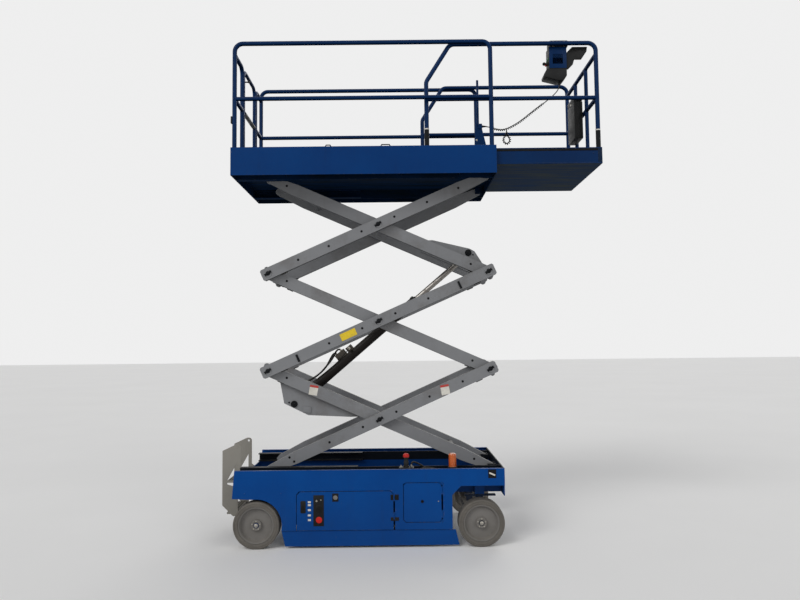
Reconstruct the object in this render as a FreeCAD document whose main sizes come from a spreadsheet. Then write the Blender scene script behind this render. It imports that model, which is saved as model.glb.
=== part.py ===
"""Slab scissor lift with a slide-out deck, standing with its platform raised.

The model is in millimetres. X runs forward to the steered wheels, the right-hand side of the machine
is at -Y, and Z is up from the floor. Sizes are measured from the middle of the wheelbase, and base_x
moves the whole machine so that the origin lies under the middle of its outline.
"""
import FreeCAD, Part
import math
import os
import re
import Sketcher
from FreeCAD import Placement, Rotation, Vector

# Driving sizes in millimetres and degrees: name, value, what it is
SIZES = [
    ("ladder_reach", 1295, "middle of the wheelbase to the back of the ladder"),
    ("deck_reach", 2020, "middle of the wheelbase to the front of the slid-out deck"),
    ("wheelbase", 1850, "rear axle to front axle"),
    ("tyre_radius", 190.5, "outside radius of a tyre"),
    ("tyre_width", 127, "width of a tyre"),
    ("rim_radius", 150, "radius where tyre and wheel meet"),
    ("spindle_radius", 20, "radius of the wheel spindles"),
    ("running_gap", 0.3, "radial gap of a running fit"),
    ("body_width", 1170, "width over the wheels"),
    ("panel_inset", 6, "side panel behind the tyre face"),
    ("sheet_steel", 8, "thickness of body plate"),
    ("body_rear", 1105, "middle of the wheelbase to the rear of the body"),
    ("body_front", 1121, "middle of the wheelbase to the front of the body"),
    ("body_top", 633, "height of the body"),
    ("ledge_height", 543, "height of the ledges beside the well"),
    ("well_inset", 185, "outside of the wheels to the well between the ledges"),
    ("pan_bottom", 150, "underside of the floor pan"),
    ("pan_half", 660, "half length of the floor pan"),
    ("band_bottom", 410, "lower edge of the well walls over the wheels"),
    ("rear_skirt_bottom", 408, "underside of the rear overhang"),
    ("skirt_drop", 98.5, "underside of the front overhang below the lowest pins"),
    ("arch_radius", 212, "radius of the rear wheel arch"),
    ("front_arch_x", 687, "rear edge of the front wheel arch"),
    ("arch_corner", 73, "slant at the top of the front arch"),
    ("panel_bottom", 147, "lower edge of the side panel"),
    ("door_rear", 591, "rear edge of the tray door behind the middle"),
    ("door_front", 202, "front edge of the tray door"),
    ("door_top", 458, "top edge of the tray door"),
    ("door_corner", 26, "cut at the tray door's upper corners"),
    ("door_gap", 5, "gap round a door"),
    ("hatch_rear", 288, "rear edge of the small door"),
    ("hatch_front", 597, "front edge of the small door"),
    ("hatch_bottom", 207, "lower edge of the small door"),
    ("hatch_top", 521, "top edge of the small door"),
    ("hatch_corner", 18, "cut at the small door's corners"),
    ("tray_floor", 205, "underside of the swing-out tray"),
    ("block_top", 440, "top of the battery and tank blocks"),
    ("hinge_radius", 6, "radius of a door hinge knuckle"),
    ("hinge_length", 44, "height of a door hinge knuckle"),
    ("hinge_pin", 3, "radius of a door hinge pin"),
    ("guard_bottom", 19, "lower edge of a lowered pothole guard"),
    ("guard_top", 143, "upper edge of a lowered pothole guard"),
    ("guard_rear", 687, "rear end of a pothole guard"),
    ("guard_front", 712, "front end of a pothole guard at its top"),
    ("guard_lift", 50, "travel of a pothole guard"),
    ("kingpin_inset", 153, "outside of the wheels to the steering axis"),
    ("kingpin_radius", 18, "radius of a steering kingpin"),
    ("steer_arm", 120, "steering axis to the tie rod pin"),
    ("arm_length", 2107, "pin to pin length of a scissor arm"),
    ("raise_angle", 23.78, "slope of the arms as the machine stands"),
    ("arm_height", 102, "depth of a scissor arm"),
    ("arm_thick", 50, "width of a scissor arm"),
    ("arm_gap", 10, "gap between an outer and an inner arm"),
    ("stack_gap", 60, "outer arms to the wall of the well"),
    ("arm_end", 60, "arm beyond its pin"),
    ("slim_end", 32, "half depth of an arm at the body or platform pin"),
    ("slim_length", 260, "length over which such an end tapers"),
    ("pin_radius", 16, "radius of the scissor pins"),
    ("base_pin_height", 592.5, "height of the lowest pins"),
    ("front_pin", 1052.7, "front pins in front of the middle of the wheelbase"),
    ("cross_tube", 25, "radius of the tubes between two inner arms"),
    ("roller_radius", 28, "radius of the sliding end's roller"),
    ("roller_gap", 1, "gap between roller and rail"),
    ("rail_end", 100, "front end of the slide rails behind the middle"),
    ("low_pin_along", 1794, "cylinder's lower pin along the arm from its front pin"),
    ("low_pin_drop", 185, "cylinder's lower pin below that arm's axis"),
    ("high_pin_along", 222, "cylinder's upper pin along the arm from its front pin"),
    ("high_pin_rise", 95.7, "cylinder's upper pin above that arm's axis"),
    ("barrel_radius", 42, "outside radius of the lift cylinder"),
    ("barrel_length", 1400, "lower pin to the mouth of the lift cylinder"),
    ("rod_radius", 25, "radius of the piston rod"),
    ("rod_length", 1550, "length of the piston rod"),
    ("deck_above_pin", 41, "underside of the deck above the top pins"),
    ("deck_plate", 5, "thickness of a deck plate"),
    ("skirt_below_pin", 39, "lower edge of the platform's skirt below the top pins"),
    ("skirt_height", 239, "depth of the platform's skirt"),
    ("platform_rear", 1149, "rear of the platform behind the middle"),
    ("platform_front", 1107, "front of the platform"),
    ("rail_radius", 19, "radius of the guardrail tubes"),
    ("rail_height", 1067, "top rail above the deck"),
    ("midrail_height", 582, "mid rail above the deck"),
    ("rail_bend", 70, "bend radius of the guardrail tubes"),
    ("gate_half", 275, "half distance between the gate posts"),
    ("slide_half", 530, "half width of the slide-out deck"),
    ("slide_side", 140, "height of the slide-out deck's side plates"),
    ("slide_rear", 500, "rear edge of the slid-out deck"),
    ("slide_post", 521, "rear post of the slide-out deck's rail"),
    ("knee_height", 736, "rail's slanted stretch starts this high over the deck"),
    ("knee_length", 210, "length of the slanted stretch along X"),
    ("cord_radius", 11, "outside radius of the coiled control cord"),
]

doc = FreeCAD.newDocument("scissor_lift")
sheet = doc.addObject("Spreadsheet::Sheet", "Sizes")
for row, (alias, value, note) in enumerate(SIZES, 1):
    sheet.set(f"A{row}", alias)
    sheet.set(f"B{row}", str(value))
    sheet.set(f"C{row}", note)
    sheet.setAlias(f"B{row}", alias)
doc.recompute()

ALIAS = re.compile(r"\b(" + "|".join(alias for alias, _, _ in SIZES) + r")\b")
S = {alias: float(sheet.get(alias)) for alias, _, _ in SIZES}

# Half widths and heights that follow other sizes, and may stand in any expression
DERIVED = {
    "stack_half": "(well_half - stack_gap)",
    "well_half": "(body_width/2 - well_inset)",
    "kingpin_y": "(body_width/2 - kingpin_inset)",
    "front_skirt_bottom": "(base_pin_height - skirt_drop)",
}

# Places worked out from the sheet, as the sheet's own expressions
BASE_X = "((ladder_reach - deck_reach)/2)"
PANEL = "(body_width/2 - panel_inset)"
INNER_Y = "(stack_half - arm_thick*1.5 - arm_gap)"
OUTER_Y = "(stack_half - arm_thick/2)"
SPAN = "(arm_length*cos(raise_angle))"
STAGE = "(arm_length*sin(raise_angle))"
TOP_PIN = f"(base_pin_height + 3*{STAGE})"
DECK = f"({TOP_PIN} + deck_above_pin + deck_plate)"
SLIDE = f"({DECK} + running_gap)"

nodes = {}


def words(expression):
    """Write out the derived names of an expression and name the sheet in front of each size."""
    text = str(expression)
    for name, value in DERIVED.items():
        text = re.sub(rf"\b{name}\b", value, text)
    return ALIAS.sub(r"Sizes.\1", text)


def bind(obj, **sizes):
    for name, expression in sizes.items():
        obj.setExpression(name, words(expression))
    return obj


def place(obj, x=0, y=0, z=0, axis=None, angle=0):
    """Put an object at x, y, z of the machine, turned about an axis by an angle."""
    if axis is not None:
        obj.Placement = Placement(Vector(), Rotation(axis, 1))
        obj.setExpression("Placement.Rotation.Angle", words(angle))
    for name, expression in (("x", f"{BASE_X} + {x}"), ("y", y), ("z", z)):
        obj.setExpression(f"Placement.Base.{name}", words(expression))
    return obj


def block(name, x, y, z, length, width, height):
    """A box whose lowest corner is at x, y, z."""
    box = doc.addObject("Part::Box", name)
    bind(box, Length=length, Width=width, Height=height)
    return place(box, x, y, z)


AXES = {"X": (Vector(0, 1, 0), 90), "Y": (Vector(1, 0, 0), -90), "Z": (None, 0)}


def rod(name, axis, x, y, z, radius, length):
    """A cylinder that starts at x, y, z and runs along the positive axis."""
    cylinder = doc.addObject("Part::Cylinder", name)
    bind(cylinder, Radius=radius, Height=length)
    turn, angle = AXES[axis]
    return place(cylinder, x, y, z, turn, angle)


def join(name, pieces):
    fused = doc.addObject("Part::MultiFuse", name)
    fused.Shapes = pieces
    return fused


def carve(name, base, tools):
    cut = doc.addObject("Part::Cut", name)
    cut.Base = base
    cut.Tool = tools[0] if len(tools) == 1 else join(name + "_tools", tools)
    return cut


def mirror(name, source):
    """The same piece on the left-hand side."""
    copy = doc.addObject("Part::Mirroring", name)
    copy.Source = source
    copy.Normal = Vector(0, 1, 0)
    return copy


def outline(body, name, role, points, holes=()):
    """A closed sketch whose corners, and round holes, are bound to expressions."""
    sketch = body.newObject("Sketcher::SketchObject", name + "_sketch")
    plane = next(item for item in body.Origin.OriginFeatures if item.Role == role)
    sketch.AttachmentSupport = [(plane, "")]
    sketch.MapMode = "FlatFace"
    count = len(points)
    ring = [Vector(math.cos(2 * math.pi * i / count), math.sin(2 * math.pi * i / count), 0) * 10
            for i in range(count)]
    for i in range(count):
        sketch.addGeometry(Part.LineSegment(ring[i], ring[(i + 1) % count]), False)
    for i in range(count):
        sketch.addConstraint(Sketcher.Constraint("Coincident", i, 2, (i + 1) % count, 1))
    for i, corner in enumerate(points):
        for kind, expression in zip(("DistanceX", "DistanceY"), corner):
            number = sketch.addConstraint(Sketcher.Constraint(kind, -1, 1, i, 1, 1.0 + i))
            sketch.setExpression(f"Constraints[{number}]", words(expression))
    for x, y, radius in holes:
        circle = sketch.addGeometry(Part.Circle(Vector(1, 1, 0), Vector(0, 0, 1), 1), False)
        number = sketch.addConstraint(Sketcher.Constraint("Radius", circle, 1.0))
        sketch.setExpression(f"Constraints[{number}]", words(radius))
        for kind, expression in (("DistanceX", x), ("DistanceY", y)):
            number = sketch.addConstraint(Sketcher.Constraint(kind, -1, 1, circle, 3, 1.0))
            sketch.setExpression(f"Constraints[{number}]", words(expression))
    return sketch


def plate(name, points, thickness, x, y, z, axis=None, angle=0, holes=()):
    """A plate in the XZ plane, with y through its middle."""
    body = doc.addObject("PartDesign::Body", name)
    sketch = outline(body, name, "XZ_Plane", points, holes)
    pad = body.newObject("PartDesign::Pad", name + "_pad")
    pad.Profile = sketch
    pad.Midplane = True
    bind(pad, Length=thickness)
    return place(body, x, y, z, axis, angle)


def turned(name, points, x, y, z):
    """A ring or disc about an axle along Y. A point is its radius and how far it lies along Y."""
    body = doc.addObject("PartDesign::Body", name)
    sketch = outline(body, name, "XY_Plane", points)
    spin = body.newObject("PartDesign::Revolution", name + "_spin")
    spin.Profile = sketch
    spin.ReferenceAxis = (sketch, ["V_Axis"])
    spin.Angle = 360
    return place(body, x, y, z)


def both_sides(name, make):
    """Make the right-hand piece and mirror it."""
    nodes[name + "_right"] = make(name + "_right")
    nodes[name + "_left"] = mirror(name + "_left", nodes[name + "_right"])


# Wheels
def tyre(name, x):
    points = [("rim_radius", 0), ("tyre_radius - 8", 0), ("tyre_radius", 9),
              ("tyre_radius", "tyre_width - 9"), ("tyre_radius - 8", "tyre_width"),
              ("rim_radius", "tyre_width")]
    return turned(name, points, x, "-body_width/2", "tyre_radius")


def wheel(name, x):
    bore = "spindle_radius + running_gap"
    points = [(bore, 14), (38, 10), (44, 34), ("rim_radius - 46", 40), ("rim_radius - 22", 12),
              ("rim_radius", 5), ("rim_radius", "tyre_width - 5"), (bore, "tyre_width - 5")]
    return turned(name, points, x, "-body_width/2", "tyre_radius")


for end, x in (("rear", "-wheelbase/2"), ("front", "wheelbase/2")):
    both_sides(f"tyre_{end}", lambda name: tyre(name, x))
    both_sides(f"wheel_{end}", lambda name: wheel(name, x))

def right_y(near, width):
    """Lower Y edge of a piece on the right that starts near the middle plane and is so wide."""
    return f"-({near} + {width})"


def left_y(near, width):
    """The same piece's lower Y edge on the left, where its width doesn't count."""
    return f"({near})"


SIDES = (("right", right_y), ("left", left_y))

# Body frame: pan, well walls, ledges, end plates, slide rails and axles
WALL = "well_half + sheet_steel"
LEDGE_WIDTH = f"({PANEL} - sheet_steel - well_half - sheet_steel)"
frame_pieces = [
    block("pan", "-pan_half", f"-({WALL})", "pan_bottom", "2*pan_half", f"2*({WALL})", "sheet_steel"),
    block("front_beam", "front_pin - 55", "-well_half", "front_skirt_bottom",
          "body_front - sheet_steel - front_pin + 55", "2*well_half", 36),
    block("rear_beam", "-wheelbase/2 - 40", f"-({WALL})", "tyre_radius - 40", 80, f"2*({WALL})", 80),
    block("rear_plate", "-body_rear", f"-({PANEL} - sheet_steel)", "band_bottom", "sheet_steel",
          f"2*({PANEL} - sheet_steel)", "ledge_height - band_bottom"),
    block("front_plate", "body_front - sheet_steel", f"-({PANEL} - sheet_steel)", "band_bottom",
          "sheet_steel", f"2*({PANEL} - sheet_steel)", "body_top - band_bottom"),
]
RAIL_BAND = ("stack_half + 5", "well_half - stack_half - 5")
RAIL_LOW = "(base_pin_height - roller_radius - roller_gap - sheet_steel)"
RAIL_HIGH = "(base_pin_height + roller_radius + roller_gap)"
for side, at_y in SIDES:
    frame_pieces += [
        block(f"wall_band_{side}", "-body_rear + sheet_steel", at_y("well_half", "sheet_steel"),
              "band_bottom", "body_rear + body_front - 2*sheet_steel", "sheet_steel",
              f"{RAIL_HIGH} + sheet_steel - band_bottom"),
        block(f"wall_{side}", "-pan_half", at_y("well_half", "sheet_steel"), "pan_bottom",
              "2*pan_half", "sheet_steel", "band_bottom - pan_bottom"),
        block(f"ledge_{side}", "-body_rear + sheet_steel", at_y(WALL, LEDGE_WIDTH),
              "ledge_height - sheet_steel", "body_rear + body_front - 2*sheet_steel", LEDGE_WIDTH,
              "sheet_steel"),
        block(f"rear_hanger_{side}", "-wheelbase/2 - 60", at_y("well_half", "sheet_steel"),
              "tyre_radius + 40", 120, "sheet_steel", "band_bottom - tyre_radius - 40"),
        block(f"rail_low_{side}", "-body_rear + sheet_steel", at_y(*RAIL_BAND),
              RAIL_LOW, "body_rear - sheet_steel - rail_end", "well_half - stack_half - 5", "sheet_steel"),
        block(f"rail_high_{side}", "-body_rear + sheet_steel", at_y(*RAIL_BAND),
              RAIL_HIGH, "body_rear - sheet_steel - rail_end", "well_half - stack_half - 5", "sheet_steel"),
        block(f"rib_rear_{side}", "-pan_half + 10", at_y(WALL, f"{LEDGE_WIDTH} - sheet_steel - 2.3"),
              "pan_bottom", "sheet_steel", f"{LEDGE_WIDTH} - sheet_steel - 2.3",
              "ledge_height - sheet_steel - pan_bottom"),
        block(f"rib_front_{side}", "pan_half - 20", at_y(WALL, f"{LEDGE_WIDTH} - sheet_steel - 2.3"),
              "pan_bottom", "sheet_steel", f"{LEDGE_WIDTH} - sheet_steel - 2.3",
              "ledge_height - sheet_steel - pan_bottom"),
        block(f"steer_head_{side}", "wheelbase/2 - 40", at_y(WALL, 48), "band_bottom - 10", 80, 48,
              "ledge_height - sheet_steel - band_bottom + 10"),
        rod(f"rear_spindle_{side}", "Y", "-wheelbase/2",
            at_y(WALL, "body_width/2 - well_half - sheet_steel - 10"),
            "tyre_radius", "spindle_radius", "body_width/2 - well_half - sheet_steel - 10"),
        rod(f"front_pin_{side}", "Y", "front_pin", at_y(f"{INNER_Y} - arm_thick/2 - 26", "arm_thick + 52"),
            "base_pin_height", "pin_radius", "arm_thick + 52"),
    ]
    for edge, near in (("in", f"{INNER_Y} - arm_thick/2 - 20"), ("out", f"{INNER_Y} + arm_thick/2 + 6")):
        frame_pieces.append(
            block(f"pin_lug_{edge}_{side}", "front_pin - 36", at_y(near, 14), "front_skirt_bottom + 36",
                  72, 14, "base_pin_height - front_skirt_bottom - 6"))
frame_holes = [rod(f"kingpin_bore_{side}", "Z", "wheelbase/2", y, "band_bottom - 20",
                   "kingpin_radius + running_gap", 90)
               for side, y in (("right", "-kingpin_y"), ("left", "kingpin_y"))]
frame_holes += [rod(f"tie_down_{side}", "X", "body_front - 20", y, "body_top - 50", 17, 40)
                for side, y in (("right", "-480"), ("left", "480"))]
nodes["chassis_frame"] = carve("chassis_frame", join("frame_solid", frame_pieces), frame_holes)


# Heights of the hinge knuckles of the tray door and of the small door
TRAY_HINGES = ["door_top - 72", "panel_bottom + 85"]
HATCH_HINGES = ["hatch_bottom + 40", "hatch_top - 84"]
HINGE_Y = f"-{PANEL} + hinge_radius - 4"


def hinge_x(front):
    return f"{front} + hinge_radius - 0.5"


def hinge_seats(name, front, knuckles):
    """The pins and the lugs above and below each knuckle that hold a door on its panel."""
    pieces = []
    for number, z in enumerate(knuckles):
        pieces.append(rod(f"{name}_hinge_pin_{number}", "Z", hinge_x(front), HINGE_Y, f"{z} - 9",
                          "hinge_pin", "hinge_length + 18"))
        for edge, low in (("low", f"{z} - 9"), ("high", f"{z} + hinge_length + 1")):
            pieces.append(block(f"{name}_lug_{edge}_{number}", f"{hinge_x(front)} - 4",
                                f"{HINGE_Y} - 3", low, "20", "9", 8))
    return pieces


def cut_corners(rear, front, low, high, top_cut, low_cut):
    """A door's outline, with its upper and lower corners cut off at 45 degrees."""
    return [(f"{rear} + {low_cut}", low), (f"{front} - {low_cut}", low), (front, f"{low} + {low_cut}"),
            (front, f"{high} - {top_cut}"), (f"{front} - {top_cut}", high), (f"{rear} + {top_cut}", high),
            (rear, f"{high} - {top_cut}"), (rear, f"{low} + {low_cut}")]


def door_opening(name, rear, front, low, high, top_cut, low_cut):
    """What is cut from the panel for a door: its outline and the gap, and room for the knuckles."""
    hinge_room = f"{front} + door_gap + 2*hinge_radius + 4"
    points = cut_corners(f"{rear} - door_gap", hinge_room, low, f"{high} + door_gap", top_cut, low_cut)
    return plate(name, points, 40, 0, f"-{PANEL}", 0)


# Side panels with the rear arch, the door opening and the small door's opening
def side_panel(name):
    points = [("-body_rear - 18", "rear_skirt_bottom"), ("-body_rear", "body_top"),
              ("body_front", "body_top"), ("body_front", "front_skirt_bottom"),
              ("front_arch_x + arch_corner", "front_skirt_bottom"),
              ("front_arch_x", "front_skirt_bottom - arch_corner"), ("front_arch_x", "panel_bottom"),
              ("-wheelbase/2 + 185", "panel_bottom"), ("-wheelbase/2", "rear_skirt_bottom - 10")]
    blank = plate(name + "_blank", points, "sheet_steel", 0, f"-{PANEL} + sheet_steel/2", 0)
    far = f"-{PANEL} - 10"
    sheet_part = carve(name + "_sheet", blank, [
        rod(name + "_arch", "Y", "-wheelbase/2", far, "tyre_radius", "arch_radius", 40),
        door_opening(name + "_door", "-door_rear", "door_front", "panel_bottom - 10", "door_top",
                     "door_corner - 2", 2),
        door_opening(name + "_hatch", "hatch_rear", "hatch_front", "hatch_bottom - door_gap", "hatch_top",
                     "hatch_corner + 3", "hatch_corner + 3"),
    ])
    return join(name, [sheet_part] + hinge_seats(name + "_tray", "door_front", TRAY_HINGES)
                + hinge_seats(name + "_hatch", "hatch_front", HATCH_HINGES))


both_sides("side_panel", side_panel)


def hinged_door(name, points, front, knuckles):
    """A door plate and its hinge knuckles along the front edge."""
    pieces = [plate(name + "_leaf", points, "sheet_steel", 0, f"-{PANEL} + sheet_steel/2", 0)]
    bores = []
    for number, z in enumerate(knuckles):
        place_at = ("Z", hinge_x(front), HINGE_Y, z)
        pieces.append(rod(f"{name}_knuckle_{number}", *place_at, "hinge_radius", "hinge_length"))
        bores.append(rod(f"{name}_bore_{number}", *place_at, "hinge_pin + running_gap", "hinge_length"))
    return carve(name + "_door", join(name + "_door_solid", pieces), bores)


def module_tray(name):
    points = cut_corners("-door_rear", "door_front", "panel_bottom + 1", "door_top", "door_corner", 1)
    door = hinged_door(name, points, "door_front", TRAY_HINGES)
    floor = block(name + "_floor", "-door_rear + 30", f"-{PANEL} + sheet_steel", "tray_floor",
                  "door_rear + door_front - 90", f"{PANEL} - sheet_steel - well_half - 35", "sheet_steel")
    return join(name, [door, floor])


def hatch(name):
    points = cut_corners("hatch_rear", "hatch_front", "hatch_bottom", "hatch_top", "hatch_corner",
                         "hatch_corner")
    return hinged_door(name, points, "hatch_front", HATCH_HINGES)


def power_block(name):
    return block(name, "-door_rear + 40", f"-{PANEL} + sheet_steel + 20", "tray_floor + sheet_steel",
                 "door_rear + door_front - 120", f"{PANEL} - sheet_steel - well_half - 57",
                 "block_top - tray_floor - sheet_steel")


def pothole_guard(name):
    depth = f"-{PANEL} + 1.5*sheet_steel + 2"
    points = [("-guard_rear", "guard_bottom"), ("guard_front + 30", "guard_bottom"),
              ("guard_front", "guard_top"), ("pan_half + 5", "guard_top"),
              ("pan_half + 5", "guard_top + 117"), ("pan_half - 35", "guard_top + 117"),
              ("pan_half - 35", "guard_top"), ("-pan_half + 40", "guard_top"),
              ("-pan_half + 40", "guard_top + 117"), ("-pan_half", "guard_top + 117"),
              ("-pan_half", "guard_top"), ("-guard_rear - 30", "guard_top")]
    return plate(name, points, "sheet_steel", 0, depth, 0)


both_sides("module_tray", module_tray)
both_sides("power_block", power_block)
both_sides("hatch", hatch)
both_sides("pothole_guard", pothole_guard)

# Ground controls on the right-hand tray door
nodes["ground_controls"] = join("ground_controls", [
    block("control_plate", -454, f"-{PANEL} - 3", 182, 86, 3, 250),
    rod("key_switch", "Y", -407, f"-{PANEL} - 5", 320, 30, 2),
    rod("stop_button", "Y", -408, f"-{PANEL} - 6", 232, 27, 3),
])


# Steering
def steering_yoke(name):
    arm_x = "wheelbase/2 - steer_arm"
    return join(name, [
        block(name + "_knuckle", "wheelbase/2 - 30", "-kingpin_y - 20", "pan_bottom", 60, 40, 246),
        block(name + "_top", "wheelbase/2 - 125", "-kingpin_y - 20", "tyre_radius*2 + 3", 260, 42, 12),
        rod(name + "_kingpin", "Z", "wheelbase/2", "-kingpin_y", "pan_bottom + 240", "kingpin_radius", 84),
        rod(name + "_spindle", "Y", "wheelbase/2", "-body_width/2 + 10", "tyre_radius",
            "spindle_radius", "body_width/2 - 10 - kingpin_y"),
        block(name + "_arm", f"{arm_x} - 18", "-kingpin_y - 14", 236, "steer_arm", 28, 20),
        rod(name + "_arm_pin", "Z", arm_x, "-kingpin_y", 256, 8, 26),
    ])


both_sides("steering_yoke", steering_yoke)
tie_x = "wheelbase/2 - steer_arm"
nodes["tie_rod"] = carve("tie_rod", join("tie_rod_solid", [
    rod("tie_bar", "Y", tie_x, "-kingpin_y", 268, 9, "2*kingpin_y"),
    rod("tie_eye_right", "Z", tie_x, "-kingpin_y", 257, 22, 22),
    rod("tie_eye_left", "Z", tie_x, "kingpin_y", 257, 22, 22),
]), [
    rod("tie_bore_right", "Z", tie_x, "-kingpin_y", 250, "8 + running_gap", 40),
    rod("tie_bore_left", "Z", tie_x, "kingpin_y", 250, "8 + running_gap", 40),
])

# Scissor arms. Outer arms rise to the front and inner arms to the rear.
HALF = "arm_length/2"
DEPTH = "arm_height/2"


def square_end(sign):
    end = f"{sign}*({HALF} + arm_end)"
    return [(end, f"{-sign}*({DEPTH} - 12)"), (end, f"{sign}*({DEPTH} - 12)"),
            (f"{end} - {sign}*12", f"{sign}*{DEPTH}")]


def slim_tip(sign):
    start = f"{sign}*({HALF} - slim_length)"
    tip = f"{sign}*({HALF} + slim_end)"
    return [(start, f"{-sign}*{DEPTH}"), (f"{sign}*{HALF}", f"{-sign}*slim_end"),
            (tip, f"{-sign}*slim_end/2"), (tip, f"{sign}*slim_end/2"),
            (f"{sign}*{HALF}", f"{sign}*slim_end"), (start, f"{sign}*{DEPTH}")]


def corner_start(sign):
    """The square end's first cut corner."""
    return [(f"{sign}*({HALF} + arm_end - 12)", f"{-sign}*{DEPTH}")]


def arm_outline(slim):
    front = slim_tip(1) if slim else corner_start(1) + square_end(1)
    return front + corner_start(-1) + square_end(-1)


def arm_pair(name, level, outer, slim, turn):
    """Two arms at a level of the stack. Each turns on the pins that its own pair doesn't carry."""
    y = OUTER_Y if outer else INNER_Y
    bore = "pin_radius + running_gap"
    if outer:
        stations = [f"-{HALF}", 0] if level == 1 else [f"-{HALF}", 0, HALF]
    else:
        stations = [HALF] if level == 1 else []
    holes = [(station, 0, bore) for station in stations]
    z = f"base_pin_height + {level - 0.5}*{STAGE}"
    x = f"front_pin - {SPAN}/2"
    pieces = []
    for side, sign in (("right", "-"), ("left", "")):
        pieces.append(plate(f"{name}_{side}", arm_outline(slim), "arm_thick", x, f"{sign}{y}", z,
                            Vector(0, 1, 0), turn, holes))
    return pieces


def arm_point(level, outer, along):
    """A point on an arm's axis, so far from its front pin, as x and z."""
    slope = 1 if outer else -1
    x = f"front_pin - ({along})*cos(raise_angle)"
    z = f"base_pin_height + {level if outer else level - 1}*{STAGE} - {slope}*({along})*sin(raise_angle)"
    return x, z


def cross_rod(name, x, z, radius, half):
    return rod(name, "Y", x, f"-({half})", z, radius, f"2*({half})")


def stub_pins(name, x, z, start, end):
    """The same pin on both sides, between two distances from the middle plane."""
    return [rod(name + "_right", "Y", x, f"-({end})", z, "pin_radius", f"{end} - ({start})"),
            rod(name + "_left", "Y", x, start, z, "pin_radius", f"{end} - ({start})")]


ARM_INSIDE = f"{INNER_Y} - arm_thick/2"
PIN_END = "stack_half + 4"
for level in (1, 2, 3):
    slim = level != 2
    outer_turn = {1: "180 - raise_angle", 2: "-raise_angle", 3: "-raise_angle"}[level]
    inner_turn = {1: "raise_angle", 2: "raise_angle", 3: "180 + raise_angle"}[level]
    pieces = arm_pair(f"outer_arm_{level}", level, True, slim, outer_turn)
    if level == 1:
        x, z = arm_point(1, True, "arm_length")
        pieces += stub_pins("low_roller_pin", x, z, "stack_half - 40", "well_half - 8")
        for side, y in (("right", "-(well_half - 8)"), ("left", "stack_half + 12")):
            pieces.append(rod(f"low_roller_{side}", "Y", x, y, z, "roller_radius",
                              "well_half - stack_half - 20"))
    nodes[f"outer_arms_{level}"] = join(f"outer_arms_{level}", pieces)

    name = f"inner_arm_{level}"
    pieces = arm_pair(name, level, False, slim, inner_turn)
    stations = {1: ["arm_length", HALF], 2: [0, "arm_length", HALF], 3: [0, HALF]}[level]
    for number, along in enumerate(stations):
        x, z = arm_point(level, False, along)
        pieces += stub_pins(f"{name}_pin_{number}", x, z, f"{ARM_INSIDE} + 5", PIN_END)
    tubes = {1: ["arm_length", 350], 2: [0, "arm_length"], 3: [0, 1700]}[level]
    for number, along in enumerate(tubes):
        x, z = arm_point(level, False, along)
        pieces.append(cross_rod(f"{name}_tube_{number}", x, z, "cross_tube", f"{ARM_INSIDE} + 2"))
    if level == 3:
        x, z = arm_point(3, False, "arm_length")
        pieces += stub_pins("high_roller_pin", x, z, f"{ARM_INSIDE} + 5", "well_half - 8")
        for side, y in (("right", "-(well_half - 8)"), ("left", "stack_half + 12")):
            pieces.append(rod(f"high_roller_{side}", "Y", x, y, z, "roller_radius",
                              "well_half - stack_half - 20"))
    if level == 1:
        lug = [(f"{HALF} - 1985", 0), (f"{HALF} - 1985", -58), (f"{HALF} - 1878", -215),
               (f"{HALF} - 1642", -225), (f"{HALF} - 1300", -95), (f"{HALF} - 1180", -40),
               (f"{HALF} - 1180", 0)]
        x = "front_pin - low_pin_along*cos(raise_angle) - low_pin_drop*sin(raise_angle)"
        z = "base_pin_height + low_pin_along*sin(raise_angle) - low_pin_drop*cos(raise_angle)"
        turn = "raise_angle"
    if level == 3:
        lug = [(f"620 - {HALF}", 0), (f"620 - {HALF}", -45), (f"560 - {HALF}", -75),
               (f"225 - {HALF}", -135), (f"175 - {HALF}", -130), (f"50 - {HALF}", -45),
               (f"50 - {HALF}", 0)]
        x = "front_pin - high_pin_along*cos(raise_angle) + high_pin_rise*sin(raise_angle)"
        z = (f"base_pin_height + 2*{STAGE} + high_pin_along*sin(raise_angle)"
             " + high_pin_rise*cos(raise_angle)")
        turn = "180 + raise_angle"
    if level != 2:
        for side, sign in (("right", "-"), ("left", "")):
            pieces.append(plate(f"{name}_lug_{side}", lug, 10, f"front_pin - {SPAN}/2",
                                f"{sign}({ARM_INSIDE} - 5)", f"base_pin_height + {level - 0.5}*{STAGE}",
                                Vector(0, 1, 0), turn))
        if level == 1:
            LOW_PIN = (x, z)
            pieces.append(cross_rod("cylinder_pin", x, z, "pin_radius + 4", ARM_INSIDE))
        else:
            HIGH_PIN = (x, z)
    nodes[f"inner_arms_{level}"] = join(f"inner_arms_{level}", pieces)

# Lift cylinder, from the lowest inner arms to the topmost inner arms
RISE = f"(({HIGH_PIN[1]}) - ({LOW_PIN[1]}))"
RUN = f"(({HIGH_PIN[0]}) - ({LOW_PIN[0]}))"
SLOPE = f"atan2({RISE}; {RUN})"
EYE = "pin_radius + 4 + running_gap"


def along_cylinder(name, pin, start, radius, length):
    """A cylinder on the lift cylinder's axis that starts so far from a pin."""
    cylinder = doc.addObject("Part::Cylinder", name)
    bind(cylinder, Radius=radius, Height=length)
    return place(cylinder, f"{pin[0]} + ({start})*cos({SLOPE})", 0, f"{pin[1]} + ({start})*sin({SLOPE})",
                 Vector(0, 1, 0), f"90deg - {SLOPE}")


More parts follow.
